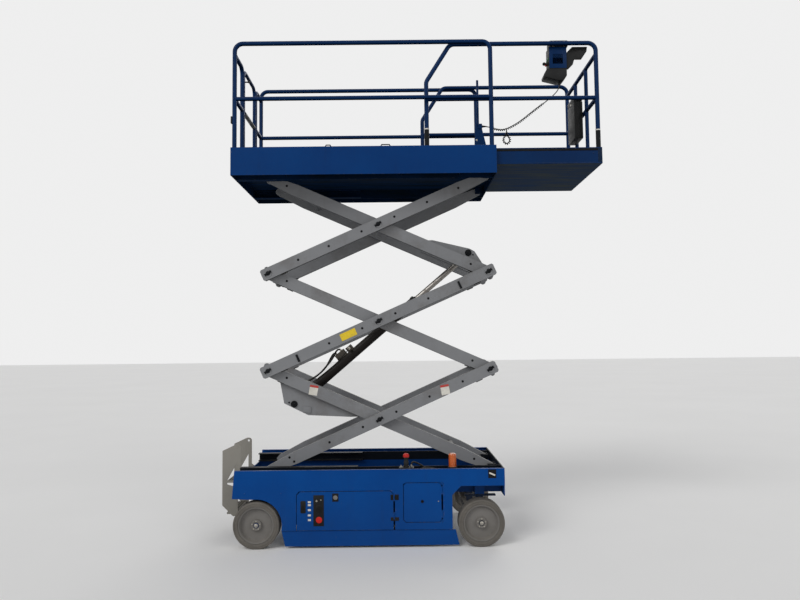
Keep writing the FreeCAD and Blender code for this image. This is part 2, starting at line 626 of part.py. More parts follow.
nodes["lift_cylinder_barrel"] = carve("lift_cylinder_barrel", join("barrel_solid", [
    along_cylinder("barrel_tube", LOW_PIN, 0, "barrel_radius", "barrel_length"),
    cross_rod("barrel_eye", *LOW_PIN, "barrel_radius + 4", 35),
]), [
    along_cylinder("barrel_bore", LOW_PIN, 70, "rod_radius + 5", "barrel_length"),
    cross_rod("barrel_eye_bore", *LOW_PIN, EYE, 60),
])
nodes["lift_cylinder_rod"] = join("lift_cylinder_rod", [
    along_cylinder("piston_rod", HIGH_PIN, "-rod_length", "rod_radius", "rod_length - 25"),
    cross_rod("rod_eye", *HIGH_PIN, 32, 30),
    cross_rod("rod_pin", *HIGH_PIN, "pin_radius + 4", f"{ARM_INSIDE} - 10 - running_gap"),
])

# Platform deck
HALF_WIDTH = "body_width/2"
SKIRT_Z = f"{TOP_PIN} - skirt_below_pin"
RIB_WIDTH = f"({HALF_WIDTH} - 2*sheet_steel - well_half)"
RAIL_HANG = f"{TOP_PIN} - roller_radius - roller_gap - sheet_steel"
deck_pieces = [
    block("deck_plate_main", "-platform_rear", f"-{HALF_WIDTH} + sheet_steel", f"{TOP_PIN} + deck_above_pin",
          "platform_rear + platform_front", "body_width - 2*sheet_steel", "deck_plate"),
    block("deck_rear", "-platform_rear", f"-{HALF_WIDTH} + sheet_steel", SKIRT_Z, "sheet_steel",
          "body_width - 2*sheet_steel", "skirt_height"),
    block("deck_front", "platform_front - sheet_steel", f"-{HALF_WIDTH} + sheet_steel", SKIRT_Z,
          "sheet_steel", "body_width - 2*sheet_steel", "skirt_below_pin + deck_above_pin"),
]
# Slots along the left skirt: rear end and length
SKIRT_SLOTS = ((-1080, 163), (-474, 519))


def skirt(side, at_y):
    """One of the platform's long skirts."""
    return block(f"deck_skirt_{side}", "-platform_rear", at_y(f"{HALF_WIDTH} - sheet_steel", "sheet_steel"),
                 SKIRT_Z, "platform_rear + platform_front", "sheet_steel", "skirt_height")


slots = [block(f"skirt_slot_{number}", x, f"{HALF_WIDTH} - sheet_steel - 5", f"{TOP_PIN} + deck_above_pin - 19",
               length, "sheet_steel + 10", 13) for number, (x, length) in enumerate(SKIRT_SLOTS)]
deck_pieces += [skirt("right", right_y), carve("slotted_skirt", skirt("left", left_y), slots)]
for side, at_y in SIDES:
    deck_pieces += [
        block(f"deck_web_{side}", "-platform_rear", at_y("well_half", "sheet_steel"), RAIL_HANG,
              "platform_rear + platform_front", "sheet_steel",
              "deck_above_pin + roller_radius + roller_gap + sheet_steel"),
        block(f"deck_rail_low_{side}", "-platform_rear", at_y(*RAIL_BAND),
              RAIL_HANG, "platform_rear - rail_end", "well_half - stack_half - 5", "sheet_steel"),
        block(f"deck_rail_high_{side}", "-platform_rear", at_y(*RAIL_BAND),
              f"{TOP_PIN} + roller_radius + roller_gap", "platform_rear - rail_end",
              "well_half - stack_half - 5", "sheet_steel"),
        rod(f"deck_pin_{side}", "Y", "front_pin", at_y(f"{OUTER_Y} - arm_thick/2 - 22", "arm_thick + 44"),
            TOP_PIN, "pin_radius", "arm_thick + 44"),
    ]
    for edge, near in (("in", f"{OUTER_Y} - arm_thick/2 - 20"), ("out", f"{OUTER_Y} + arm_thick/2 + 6")):
        deck_pieces.append(block(f"deck_lug_{edge}_{side}", "front_pin - 36", at_y(near, 14),
                                 f"{TOP_PIN} - 30", 72, 14, "30 + deck_above_pin"))
    for number, x in enumerate((-700, -200, 300, 800)):
        deck_pieces.append(block(f"deck_rib_{number}_{side}", x, at_y(WALL, RIB_WIDTH), f"{TOP_PIN} - 15",
                                 6, RIB_WIDTH, "15 + deck_above_pin"))
    for number, inset in enumerate((28, 108)):
        deck_pieces.append(block(f"deck_channel_{number}_{side}", "-platform_rear + sheet_steel",
                                 at_y(f"{WALL} + {inset}", 28), f"{TOP_PIN} + deck_above_pin - 27",
                                 "platform_rear + platform_front - 2*sheet_steel", 28, 27))
nodes["platform_deck"] = join("platform_deck", deck_pieces)

# Guardrails, numeric because a bent tube follows its own wire
ANGLE = math.radians(S["raise_angle"])
PIN_Z = S["base_pin_height"] + 3 * S["arm_length"] * math.sin(ANGLE)
DECK_Z = PIN_Z + S["deck_above_pin"] + S["deck_plate"]
SLIDE_Z = DECK_Z + S["running_gap"] + S["deck_plate"]
TOP_Z = DECK_Z + S["rail_height"]
MID_Z = DECK_Z + S["midrail_height"]
POST_Y = S["body_width"] / 2 - S["sheet_steel"] - S["rail_radius"] - S["running_gap"]
SLIDE_Y = S["slide_half"] - 5 - S["rail_radius"] - S["running_gap"]
REAR_X = -S["platform_rear"] + S["sheet_steel"] + S["rail_radius"] + S["running_gap"]
FRONT_X = S["platform_front"] - 35


def rounded_path(points, radii):
    """Straight runs joined by tangent arcs, one radius for each inner point."""
    edges = []
    start = points[0]
    for before, corner, after, radius in zip(points, points[1:], points[2:], radii):
        back = (before - corner).normalize()
        ahead = (after - corner).normalize()
        half_turn = (math.pi - back.getAngle(ahead)) / 2
        reach = radius * math.tan(half_turn)
        middle = (back + ahead).normalize()
        enter = corner + back * reach
        leave = corner + ahead * reach
        crest = corner + middle * (radius / math.cos(half_turn) - radius)
        edges.append(Part.LineSegment(start, enter).toShape())
        edges.append(Part.Arc(enter, crest, leave).toShape())
        start = leave
    edges.append(Part.LineSegment(start, points[-1]).toShape())
    return Part.Wire(edges)


def tube(points, radius, bend):
    path = rounded_path(points, [bend] * (len(points) - 2))
    ring = Part.Wire(Part.Circle(points[0], points[1] - points[0], radius).toShape())
    return path.makePipeShell([ring], True, False)


def frame_of_tubes(name, tubes):
    """Tubes drawn as x, y, z points from the middle of the wheelbase, fused to one frame."""
    shapes = []
    for points, radius in tubes:
        shapes.append(tube([Vector(*p) for p in points], radius, S["rail_bend"]))
    feature = doc.addObject("Part::Feature", name)
    feature.Shape = shapes[0].multiFuse(shapes[1:]).removeSplitter() if len(shapes) > 1 else shapes[0]
    return place(feature)


R = S["rail_radius"]
nodes["guardrail_right"] = frame_of_tubes("guardrail_right", [
    ([(REAR_X, -POST_Y, DECK_Z), (REAR_X, -POST_Y, TOP_Z), (FRONT_X, -POST_Y, TOP_Z),
      (FRONT_X, -POST_Y, DECK_Z)], R),
    ([(REAR_X, -POST_Y, MID_Z), (FRONT_X, -POST_Y, MID_Z)], R - 1),
])
nodes["guardrail_left"] = mirror("guardrail_left", nodes["guardrail_right"])
GATE_Y = S["gate_half"]
RETURN_Z = TOP_Z - S["rail_bend"] - 30
nodes["rear_rail_right"] = frame_of_tubes("rear_rail_right", [
    ([(REAR_X, -GATE_Y, DECK_Z), (REAR_X, -GATE_Y, RETURN_Z), (REAR_X, -POST_Y + R, RETURN_Z)], R),
    ([(REAR_X, -GATE_Y, MID_Z), (REAR_X, -POST_Y + R, MID_Z)], R - 1),
])
nodes["rear_rail_left"] = mirror("rear_rail_left", nodes["rear_rail_right"])
GATE_IN = GATE_Y - R - 8 - 16
LUG_END = GATE_Y - R - S["running_gap"]
nodes["gate"] = frame_of_tubes("gate", [
    ([(REAR_X, -GATE_IN, DECK_Z + 175), (REAR_X, -GATE_IN, RETURN_Z), (REAR_X, GATE_IN, RETURN_Z),
      (REAR_X, GATE_IN, DECK_Z + 175)], 16),
    ([(REAR_X, -GATE_IN, MID_Z), (REAR_X, GATE_IN, MID_Z)], 15),
    ([(REAR_X, GATE_IN, DECK_Z + 430), (REAR_X, LUG_END, DECK_Z + 430)], 8),
    ([(REAR_X, GATE_IN, RETURN_Z - 150), (REAR_X, LUG_END, RETURN_Z - 150)], 8),
])

# Slide-out deck
SLIDE_WIDTH = "2*slide_half"
nodes["extension_deck"] = join("extension_deck", [
    block("slide_plate", "slide_rear", "-slide_half", SLIDE, "deck_reach - slide_rear", SLIDE_WIDTH,
          "deck_plate"),
    block("slide_front", "deck_reach - 5", "-slide_half", SLIDE, 5, SLIDE_WIDTH, "slide_side"),
    block("slide_side_right", "slide_rear", "-slide_half", SLIDE, "deck_reach - slide_rear", 5, "slide_side"),
    block("slide_side_left", "slide_rear", "slide_half - 5", SLIDE, "deck_reach - slide_rear", 5,
          "slide_side"),
])
POST_X = S["slide_post"]
NOSE_X = S["deck_reach"] - 5 - R - S["running_gap"]
KNEE_Z = DECK_Z + S["knee_height"]
nodes["extension_rail_right"] = frame_of_tubes("extension_rail_right", [
    ([(POST_X, -SLIDE_Y, SLIDE_Z), (POST_X, -SLIDE_Y, KNEE_Z), (POST_X + S["knee_length"], -SLIDE_Y, TOP_Z),
      (NOSE_X, -SLIDE_Y, TOP_Z), (NOSE_X, -SLIDE_Y, SLIDE_Z)], R),
    ([(POST_X, -SLIDE_Y, MID_Z), (NOSE_X, -SLIDE_Y, MID_Z)], R - 1),
])
nodes["extension_rail_left"] = mirror("extension_rail_left", nodes["extension_rail_right"])
nodes["extension_rail_front"] = frame_of_tubes("extension_rail_front", [
    ([(NOSE_X, -SLIDE_Y + R, RETURN_Z), (NOSE_X, SLIDE_Y - R, RETURN_Z)], R - 1),
    ([(NOSE_X, -SLIDE_Y + R, MID_Z), (NOSE_X, SLIDE_Y - R, MID_Z)], R - 1),
    ([(NOSE_X, -180, SLIDE_Z), (NOSE_X, -180, RETURN_Z)], R - 2),
    ([(NOSE_X, 180, SLIDE_Z), (NOSE_X, 180, RETURN_Z)], R - 2),
])
RAIL_INSIDE = "slide_half - 5 - 2*rail_radius - 2*running_gap"
BOX_Y = f"-({RAIL_INSIDE} - 60)"
BOX_LOW = f"{DECK} + 748"
nodes["control_box"] = join("control_box", [
    plate("control_case", [(0, 31), (118, 0), (166, 0), (199, 42), (201, 298), (213, 306), (213, 357),
                           (54, 357), (54, 306), (44, 298), (44, 118), (24, 108), (0, 52)], 120,
          1549, BOX_Y, BOX_LOW),
    plate("control_cradle", [(190, 102), (218, 108), (257, 149), (270, 195), (333, 195), (379, 262),
                             (385, 304), (253, 304), (190, 240)], 24, 1549, f"{BOX_Y} - 30", BOX_LOW),
    rod("joystick", "X", 1550, BOX_Y, f"{BOX_LOW} + 158", 9, 50),
    rod("joystick_knob", "X", 1543, BOX_Y, f"{BOX_LOW} + 158", 15, 18),
])
nodes["document_box"] = block("document_box", "deck_reach - 4 - 2*rail_radius - 2*running_gap - 80", -120,
                              f"{DECK} + 345", 80, 240, 400)
nodes["deck_handle"] = join("deck_handle", [
    plate("handle_plate", [(0, 0), (150, 0), (60, 390), (10, 390)], 6, 940, -400, f"{SLIDE} + deck_plate"),
    rod("handle_bar", "Z", 975, -400, f"{SLIDE} + deck_plate + 380", 10, 400),
    block("cord_socket", 976, -412, f"{DECK} + 350", 34, 24, 44),
])

# Ladder at the rear
STEP_HEIGHTS = (200, 336, 472)
STEP_THICK = 14
LADDER_JOIN = "ladder_reach - body_rear"
ladder_outline = [(0, 275), (0, 745), (105, 793), (122, 799), (138, 800), (152, 796), (161, 787), (164, 775),
                  (164, 560), (LADDER_JOIN, 540), (LADDER_JOIN, 430), (137, 410), (137, 190), (95, 180)]
ladder_pieces = [plate(f"ladder_side_{side}", ladder_outline, 6, "-ladder_reach", y, 0,
                       holes=[(135, 774, 10)]) for side, y in (("right", -215), ("left", 215))]
for number, z in enumerate(STEP_HEIGHTS):
    ladder_pieces.append(block(f"ladder_step_{number}", "-ladder_reach + 40", -215, z, 80, 430, STEP_THICK))
ABOVE = STEP_HEIGHTS[-1] + STEP_THICK + 3
BELOW = STEP_HEIGHTS[-1] - 4
ladder_windows = [
    plate("ladder_window_high", [(42, ABOVE), (133, ABOVE), (133, ABOVE + 160)], 450, "-ladder_reach", 0, 0),
    plate("ladder_window_low", [(42, BELOW - 14), (133, BELOW - 40), (133, BELOW), (42, BELOW)], 450,
          "-ladder_reach", 0, 0),
]
nodes["ladder"] = carve("ladder", join("ladder_solid", ladder_pieces), ladder_windows)

# Beacon and lowering valve on the right-hand ledge
nodes["beacon"] = join("beacon", [
    rod("beacon_base", "Z", 699, "-body_width/2 + 95", "ledge_height", 38, 95),
    rod("beacon_lens", "Z", 699, "-body_width/2 + 95", "ledge_height + 95", 33, 112),
])
nodes["lowering_valve"] = join("lowering_valve", [
    block("valve_block", 250, "-body_width/2 + 85", "ledge_height", 130, 80, 90),
    rod("valve_body", "Z", 312, "-body_width/2 + 125", "ledge_height + 90", 22, 80),
    rod("valve_knob", "Z", 312, "-body_width/2 + 125", "ledge_height + 170", 24, 36),
])

# Control cord: one tube of the coil's outside radius, from the control box to the socket on the
# deck handle's plate. A point is x and y of the machine and its height over the deck.
CORD = [(1692, -426, 748), (1692, -426, 708), (1670, -421, 668), (1620, -412, 622), (1540, -403, 560),
        (1445, -400, 488), (1345, -400, 408), (1262, -400, 360), (1196, -400, 336), (1130, -400, 344),
        (1065, -400, 372), (1010, -400, 372)]
CORD_REACH = 0.45


def cord_tube(name):
    """The cord's tube, each arc as large as the runs beside it allow, with its radii printed."""
    points = [Vector(x, y, DECK_Z + z) for x, y, z in CORD]
    radii = []
    for before, corner, after in zip(points, points[1:], points[2:]):
        turn = math.pi - (before - corner).getAngle(after - corner)
        shorter = min((before - corner).Length, (after - corner).Length)
        radii.append(CORD_REACH * shorter / math.tan(turn / 2))
    path = rounded_path(points, radii)
    ring = Part.Wire(Part.Circle(points[0], points[1] - points[0], S["cord_radius"]).toShape())
    feature = doc.addObject("Part::Feature", name)
    feature.Shape = path.makePipeShell([ring], True, False)
    section = math.pi * S["cord_radius"] ** 2
    print("cord radii", [round(radius) for radius in radii], "length", round(path.Length),
          "volume over section times length", round(feature.Shape.Volume / (section * path.Length), 4))
    return place(feature)


nodes["control_cord"] = cord_tube("control_cord")


def write_parts():
    os.makedirs("parts", exist_ok=True)
    doc.recompute()
    for item in doc.Objects:
        if "Invalid" in item.State or "Error" in item.State:
            raise RuntimeError(f"{item.Label} failed: {item.State}")
    for name, item in nodes.items():
        item.Label = name
        if item.Shape.isNull() or not item.Shape.isValid():
            raise RuntimeError(f"{name} has no valid shape")
        item.Shape.exportStep(f"parts/{name}.step")
        box = item.Shape.BoundBox
        reach = (box.XMin, box.XMax, box.YMin, box.YMax, box.ZMin, box.ZMax)
        print(name, len(item.Shape.Solids), "solids,", round(item.Shape.Volume / 1e6, 2), "l,",
              [round(side, 1) for side in reach])


write_parts()
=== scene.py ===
"""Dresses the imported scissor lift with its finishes, fittings, fasteners and cord.

Sizes are metres in the machine's own frame: X runs forward to the steered wheels, the machine's
right-hand side is at -Y and Z is up from the floor. The classes below each dress one sub-assembly.
"""
import logging
import math
from dataclasses import dataclass, field
from enum import Enum
from typing import Optional, Sequence

import bmesh
import bpy
from mathutils import Matrix, Vector


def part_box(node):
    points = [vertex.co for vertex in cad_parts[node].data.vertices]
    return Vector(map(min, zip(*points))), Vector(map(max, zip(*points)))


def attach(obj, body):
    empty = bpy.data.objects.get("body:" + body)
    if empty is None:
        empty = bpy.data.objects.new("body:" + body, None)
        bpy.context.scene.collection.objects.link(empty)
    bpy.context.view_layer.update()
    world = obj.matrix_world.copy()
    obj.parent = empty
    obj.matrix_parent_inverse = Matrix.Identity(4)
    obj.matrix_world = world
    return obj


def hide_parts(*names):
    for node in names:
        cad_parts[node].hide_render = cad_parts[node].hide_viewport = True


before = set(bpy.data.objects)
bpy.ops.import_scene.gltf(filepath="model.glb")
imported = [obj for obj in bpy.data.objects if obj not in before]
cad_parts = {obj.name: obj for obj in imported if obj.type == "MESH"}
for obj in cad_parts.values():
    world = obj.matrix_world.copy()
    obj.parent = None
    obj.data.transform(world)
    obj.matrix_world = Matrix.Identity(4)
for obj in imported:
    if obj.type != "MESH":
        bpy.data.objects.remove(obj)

LOG = logging.getLogger("lift")
MIDDLE_X = -0.3625
Triple = Sequence[float]
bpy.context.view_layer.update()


def at(x: float, y: float, z: float) -> Vector:
    """Return the place x in front of the middle of the wheelbase, as a point of the model."""
    return Vector((x + MIDDLE_X, y, z))


def linear(code: str, alpha: float = 1.0) -> tuple[float, float, float, float]:
    """Turn a colour written as six hex digits into Blender's linear colour.

    Args:
        code: The colour, such as "0B4DA2".
        alpha: Its alpha.

    Returns:
        Red, green, blue and alpha.
    """
    channels = [int(code[i:i + 2], 16) / 255 for i in (0, 2, 4)]
    shades = [c / 12.92 if c <= 0.04045 else ((c + 0.055) / 1.055) ** 2.4 for c in channels]
    return (shades[0], shades[1], shades[2], alpha)


class Nodes:
    """A material's node tree, with short calls for the nodes that the finishes share."""

    def __init__(self, name: str) -> None:
        """Start a material with one Principled shader."""
        self.material = bpy.data.materials.new(name)
        self.material.use_nodes = True
        self.tree = self.material.node_tree
        self.shader = self.tree.nodes["Principled BSDF"]
        self.place = self.add("ShaderNodeTexCoord").outputs["Object"]

    def add(self, kind: str, **values: object) -> bpy.types.Node:
        """Add a node and set its own properties."""
        node = self.tree.nodes.new(kind)
        for key, value in values.items():
            setattr(node, key, value)
        return node

    def link(self, source: bpy.types.NodeSocket, target: bpy.types.NodeSocket) -> None:
        """Join two sockets."""
        self.tree.links.new(source, target)

    def stretched(self, scale: Triple) -> bpy.types.NodeSocket:
        """Return the object coordinates scaled by scale."""
        node = self.add("ShaderNodeMapping")
        node.inputs["Scale"].default_value = scale
        self.link(self.place, node.inputs["Vector"])
        return node.outputs["Vector"]

    def noise(self, scale: float, detail: float = 4.0, rough: float = 0.6,
              vector: Optional[bpy.types.NodeSocket] = None) -> bpy.types.NodeSocket:
        """Return the factor of a noise texture on the object coordinates or on vector."""
        node = self.add("ShaderNodeTexNoise")
        node.inputs["Scale"].default_value = scale
        node.inputs["Detail"].default_value = detail
        node.inputs["Roughness"].default_value = rough
        self.link(vector or self.place, node.inputs["Vector"])
        return node.outputs["Fac"]

    def curve(self, value: bpy.types.NodeSocket, low: float, high: float, start: float = 0.0,
              end: float = 1.0) -> bpy.types.NodeSocket:
        """Map value from low..high to start..end, clamped."""
        node = self.add("ShaderNodeMapRange")
        for key, number in (("From Min", low), ("From Max", high), ("To Min", start), ("To Max", end)):
            node.inputs[key].default_value = number
        self.link(value, node.inputs["Value"])
        return node.outputs["Result"]

    def combine(self, operation: str, first: bpy.types.NodeSocket,
                second: "bpy.types.NodeSocket | float") -> bpy.types.NodeSocket:
        """Return a Math node of two values."""
        node = self.add("ShaderNodeMath", operation=operation, use_clamp=True)
        self.link(first, node.inputs[0])
        if isinstance(second, (int, float)):
            node.inputs[1].default_value = second
        else:
            self.link(second, node.inputs[1])
        return node.outputs["Value"]

    def blend(self, share: bpy.types.NodeSocket, base: "bpy.types.NodeSocket | Triple",
              over: "bpy.types.NodeSocket | Triple") -> bpy.types.NodeSocket:
        """Return base with over laid on it by share."""
        node = self.add("ShaderNodeMix", data_type="RGBA")
        self.link(share, node.inputs["Factor"])
        for key, colour in (("A", base), ("B", over)):
            socket = next(s for s in node.inputs if s.name == key and s.type == "RGBA")
            if isinstance(colour, (tuple, list)):
                socket.default_value = colour
            else:
                self.link(colour, socket)
        return next(s for s in node.outputs if s.type == "RGBA")

    def facing_up(self) -> bpy.types.NodeSocket:
        """Return how far the surface faces up, 0 to 1."""
        split = self.add("ShaderNodeSeparateXYZ")
        self.link(self.add("ShaderNodeNewGeometry").outputs["Normal"], split.inputs["Vector"])
        return self.curve(split.outputs["Z"], 0.35, 0.95)

    def facing_down(self) -> bpy.types.NodeSocket:
        """Return how far the surface faces down, 0 to 1."""
        split = self.add("ShaderNodeSeparateXYZ")
        self.link(self.add("ShaderNodeNewGeometry").outputs["Normal"], split.inputs["Vector"])
        return self.curve(split.outputs["Z"], -0.45, -0.9)

    def height(self, low: float, high: float) -> bpy.types.NodeSocket:
        """Return 1 at height low or under it, falling to 0 at height high."""
        split = self.add("ShaderNodeSeparateXYZ")
        self.link(self.place, split.inputs["Vector"])
        return self.curve(split.outputs["Z"], low, high, 1.0, 0.0)

    def inside(self, low: Triple, high: Triple) -> bpy.types.NodeSocket:
        """Return 1 inside a box that stands along the axes and 0 outside it."""
        split = self.add("ShaderNodeSeparateXYZ")
        self.link(self.place, split.inputs["Vector"])
        share = None
        for axis, first, last in zip("XYZ", low, high):
            for bound, step in ((first, 0.001), (last, -0.001)):
                part = self.curve(split.outputs[axis], bound, bound + step)
                share = part if share is None else self.combine("MULTIPLY", share, part)
        return share

    def edges(self, radius: float) -> bpy.types.NodeSocket:
        """Return 1 at sharp outer edges and 0 elsewhere."""
        soft = self.add("ShaderNodeBevel", samples=4)
        soft.inputs["Radius"].default_value = radius
        dot = self.add("ShaderNodeVectorMath", operation="DOT_PRODUCT")
        self.link(soft.outputs["Normal"], dot.inputs[0])
        self.link(self.add("ShaderNodeNewGeometry").outputs["Normal"], dot.inputs[1])
        return self.curve(dot.outputs["Value"], 0.985, 0.8)

    def relief(self, pattern: bpy.types.NodeSocket, strength: float, distance: float,
               below: Optional[bpy.types.NodeSocket] = None) -> bpy.types.NodeSocket:
        """Return a bumped normal, on top of another one if it is given."""
        node = self.add("ShaderNodeBump")
        node.inputs["Strength"].default_value = strength
        node.inputs["Distance"].default_value = distance
        self.link(pattern, node.inputs["Height"])
        if below is not None:
            self.link(below, node.inputs["Normal"])
        return node.outputs["Normal"]

    def set(self, **values: object) -> None:
        """Set uniform values on the shader's own sockets, underscores for spaces."""
        for key, value in values.items():
            self.shader.inputs[key.replace("_", " ")].default_value = value

    def feed(self, **sockets: bpy.types.NodeSocket) -> None:
        """Link patterns to the shader's sockets, underscores for spaces."""
        for key, socket in sockets.items():
            self.link(socket, self.shader.inputs[key.replace("_", " ")])


@dataclass(frozen=True)
class Paint:
    """Sprayed paint on steel, with fading, dust, runs of dirt, rubbed edges and scratches; painted shade darkens
    downward faces, faces inside a given box and faces above a given height.
    """

    name: str
    colour: str
    faded: str
    dirt: str = "4A4438"
    bare: str = "6E6A64"
    roughness: float = 0.38
    dust: float = 0.45
    wear: float = 0.7
    low_dirt: float = 0.5
    # The next three set the painted shade on downward faces and in the shaded box: its colour, its strength, and its
    # share between lengthwise streaks that also stand for grime.
    under: str = "20262B"
    shade_and_grime: float = 0.0
    thin: float = 0.8
    stains: float = 0.0
    # A colour for faces above a given height, painted shade; the frame uses it for the shade inside the well.
    above: Optional[str] = None
    well_shade_from: float = 0.0
    shaded: Optional[tuple[Triple, Triple]] = None

    def make(self) -> bpy.types.Material:
        """Build the material."""
        nodes = Nodes(self.name)
        patches = nodes.curve(nodes.noise(1.7, 5.0), 0.35, 0.7)
        colour = nodes.blend(patches, linear(self.colour), linear(self.faded))
        # Painted shade: above the given height the colour turns to the above colour.
        if self.above is not None:
            lower = nodes.height(self.well_shade_from, self.well_shade_from + 0.004)
            colour = nodes.blend(lower, linear(self.above), colour)
        runs = nodes.noise(1.0, 6.0, 0.7, nodes.stretched((14.0, 14.0, 1.6)))
        runs = nodes.curve(runs, 0.55, 0.80, 0.0, 0.16)
        colour = nodes.blend(runs, colour, linear(self.dirt))
        if self.stains:
            blots = nodes.curve(nodes.noise(2.6, 7.0, 0.7), 0.52, 0.72, 0.0, self.stains)
            colour = nodes.blend(blots, colour, linear(self.dirt))
        low = nodes.combine("MULTIPLY", nodes.height(0.05, 0.55), nodes.noise(7.0, 6.0))
        colour = nodes.blend(nodes.combine("MULTIPLY", low, self.low_dirt), colour, linear(self.dirt))
        # Painted shade: downward faces darken towards the under colour in lengthwise streaks that also stand for grime.
        shade_streaks = nodes.noise(1.0, 5.0, 0.6, nodes.stretched((2.2, 17.0, 6.0)))
        shade_streaks = nodes.curve(shade_streaks, 0.36, 0.64, self.shade_and_grime * self.thin, self.shade_and_grime)
        painted_shade = nodes.combine("MULTIPLY", nodes.facing_down(), shade_streaks)
        # Painted shade: faces inside the shaded box darken the same way, whichever way they face.
        if self.shaded is not None:
            box_shade = nodes.combine("MULTIPLY", nodes.inside(*self.shaded), shade_streaks)
            painted_shade = nodes.combine("MAXIMUM", painted_shade, box_shade)
        colour = nodes.blend(painted_shade, colour, linear(self.under))
        dust = nodes.combine("MULTIPLY", nodes.facing_up(), nodes.curve(nodes.noise(9.0, 6.0), 0.3, 0.7))
        dust = nodes.combine("MULTIPLY", dust, self.dust)
        colour = nodes.blend(dust, colour, linear("8A8378"))
        marks = nodes.noise(1.0, 8.0, 0.75, nodes.stretched((60.0, 60.0, 7.0)))
        marks = nodes.curve(marks, 0.66, 0.72, 0.0, self.wear * 0.6)
        chips = nodes.curve(nodes.noise(38.0, 3.0), 0.50, 0.62)
        rubbed = nodes.combine("MULTIPLY", nodes.edges(0.004), chips)
        rubbed = nodes.combine("MULTIPLY", rubbed, self.wear)
        worn = nodes.combine("MAXIMUM", marks, rubbed)
        colour = nodes.blend(worn, colour, linear(self.bare))
        gloss = nodes.curve(nodes.noise(23.0, 5.0), 0.3, 0.7, self.roughness - 0.07, self.roughness + 0.12)
        gloss = nodes.combine("ADD", gloss, nodes.combine("MULTIPLY", dust, 0.5))
        skin = nodes.relief(nodes.noise(260.0, 2.0), 0.10, 0.0006)
        skin = nodes.relief(nodes.noise(3.2, 2.0), 0.10, 0.01, skin)
        # Less specular reflection where the painted shade lies.
        shine = nodes.curve(painted_shade, 0.0, 0.35, 0.09, 0.0)
        nodes.feed(Base_Color=colour, Roughness=gloss, Normal=skin, Specular_IOR_Level=shine)
        nodes.set(Coat_Weight=0.02, Coat_Roughness=0.22)
        return nodes.material


@dataclass(frozen=True)
class Metal:
    """Bare or plated metal with fine lines, stains and uneven gloss."""

    name: str
    colour: str
    stain: str = "55483A"
    roughness: float = 0.3
    stained: float = 0.4
    lines: Triple = (40.0, 40.0, 900.0)

    def make(self) -> bpy.types.Material:
        """Build the material."""
        nodes = Nodes(self.name)
        spots = nodes.curve(nodes.noise(30.0, 6.0), 0.5, 0.75, 0.0, self.stained)
        colour = nodes.blend(spots, linear(self.colour), linear(self.stain))
        lines = nodes.noise(1.0, 3.0, 0.5, nodes.stretched(self.lines))
        gloss = nodes.curve(lines, 0.3, 0.7, self.roughness - 0.06, self.roughness + 0.1)
        gloss = nodes.combine("ADD", gloss, nodes.combine("MULTIPLY", spots, 0.5))
        nodes.feed(Base_Color=colour, Roughness=gloss, Normal=nodes.relief(lines, 0.08, 0.0005))
        nodes.set(Metallic=1.0)
        return nodes.material


class Feel(Enum):
    """How a moulded surface's grain looks."""

    FINE = 420.0
    LEATHERY = 190.0
    COARSE = 90.0


@dataclass(frozen=True)
class Moulded:
    """Plastic or rubber with a grain, dust and scuffs."""

    name: str
    colour: str
    scuff: str
    roughness: float = 0.6
    feel: Feel = Feel.FINE
    dust: float = 0.4
    scuffs: float = 0.4

    def make(self) -> bpy.types.Material:
        """Build the material."""
        nodes = Nodes(self.name)
        cloud = nodes.curve(nodes.noise(6.0, 6.0), 0.35, 0.75, 0.0, self.scuffs)
        colour = nodes.blend(cloud, linear(self.colour), linear(self.scuff))
        streaks = nodes.noise(1.0, 7.0, 0.7, nodes.stretched((35.0, 35.0, 5.0)))
        streaks = nodes.curve(streaks, 0.58, 0.72, 0.0, self.scuffs)
        colour = nodes.blend(streaks, colour, linear(self.scuff))
        dust = nodes.combine("MULTIPLY", nodes.facing_up(), nodes.noise(14.0, 5.0))
        colour = nodes.blend(nodes.combine("MULTIPLY", dust, self.dust), colour, linear("8E877B"))
        gloss = nodes.curve(nodes.noise(18.0, 4.0), 0.3, 0.7, self.roughness - 0.08, self.roughness + 0.1)
        grain = nodes.relief(nodes.noise(self.feel.value, 3.0), 0.22, 0.0008)
        nodes.feed(Base_Color=colour, Roughness=gloss, Normal=grain)
        nodes.set(Specular_IOR_Level=0.22)
        return nodes.material


@dataclass(frozen=True)
class TyreRubber:
    """Pale solid rubber with dirt worked into it, dark smears and fine cuts."""

    name: str = "pale_tyre_rubber"
    colour: str = "57534D"
    smear: str = "3F3B35"

    def make(self) -> bpy.types.Material:
        """Build the material."""
        nodes = Nodes(self.name)
        cloud = nodes.curve(nodes.noise(9.0, 7.0, 0.7), 0.35, 0.72)
        colour = nodes.blend(cloud, linear(self.colour), linear("68635C"))
        smears = nodes.curve(nodes.noise(3.4, 8.0, 0.75), 0.5, 0.72, 0.0, 0.55)
        colour = nodes.blend(smears, colour, linear(self.smear))
        specks = nodes.curve(nodes.noise(75.0, 4.0), 0.62, 0.7, 0.0, 0.5)
        colour = nodes.blend(specks, colour, linear("4C463D"))
        cuts = nodes.noise(1.0, 5.0, 0.7, nodes.stretched((16.0, 120.0, 16.0)))
        skin = nodes.relief(nodes.noise(210.0, 4.0), 0.25, 0.001)
        skin = nodes.relief(nodes.curve(cuts, 0.62, 0.7), 0.2, 0.0015, skin)
        nodes.feed(Base_Color=colour, Normal=skin)
        nodes.set(Roughness=0.78)
        return nodes.material


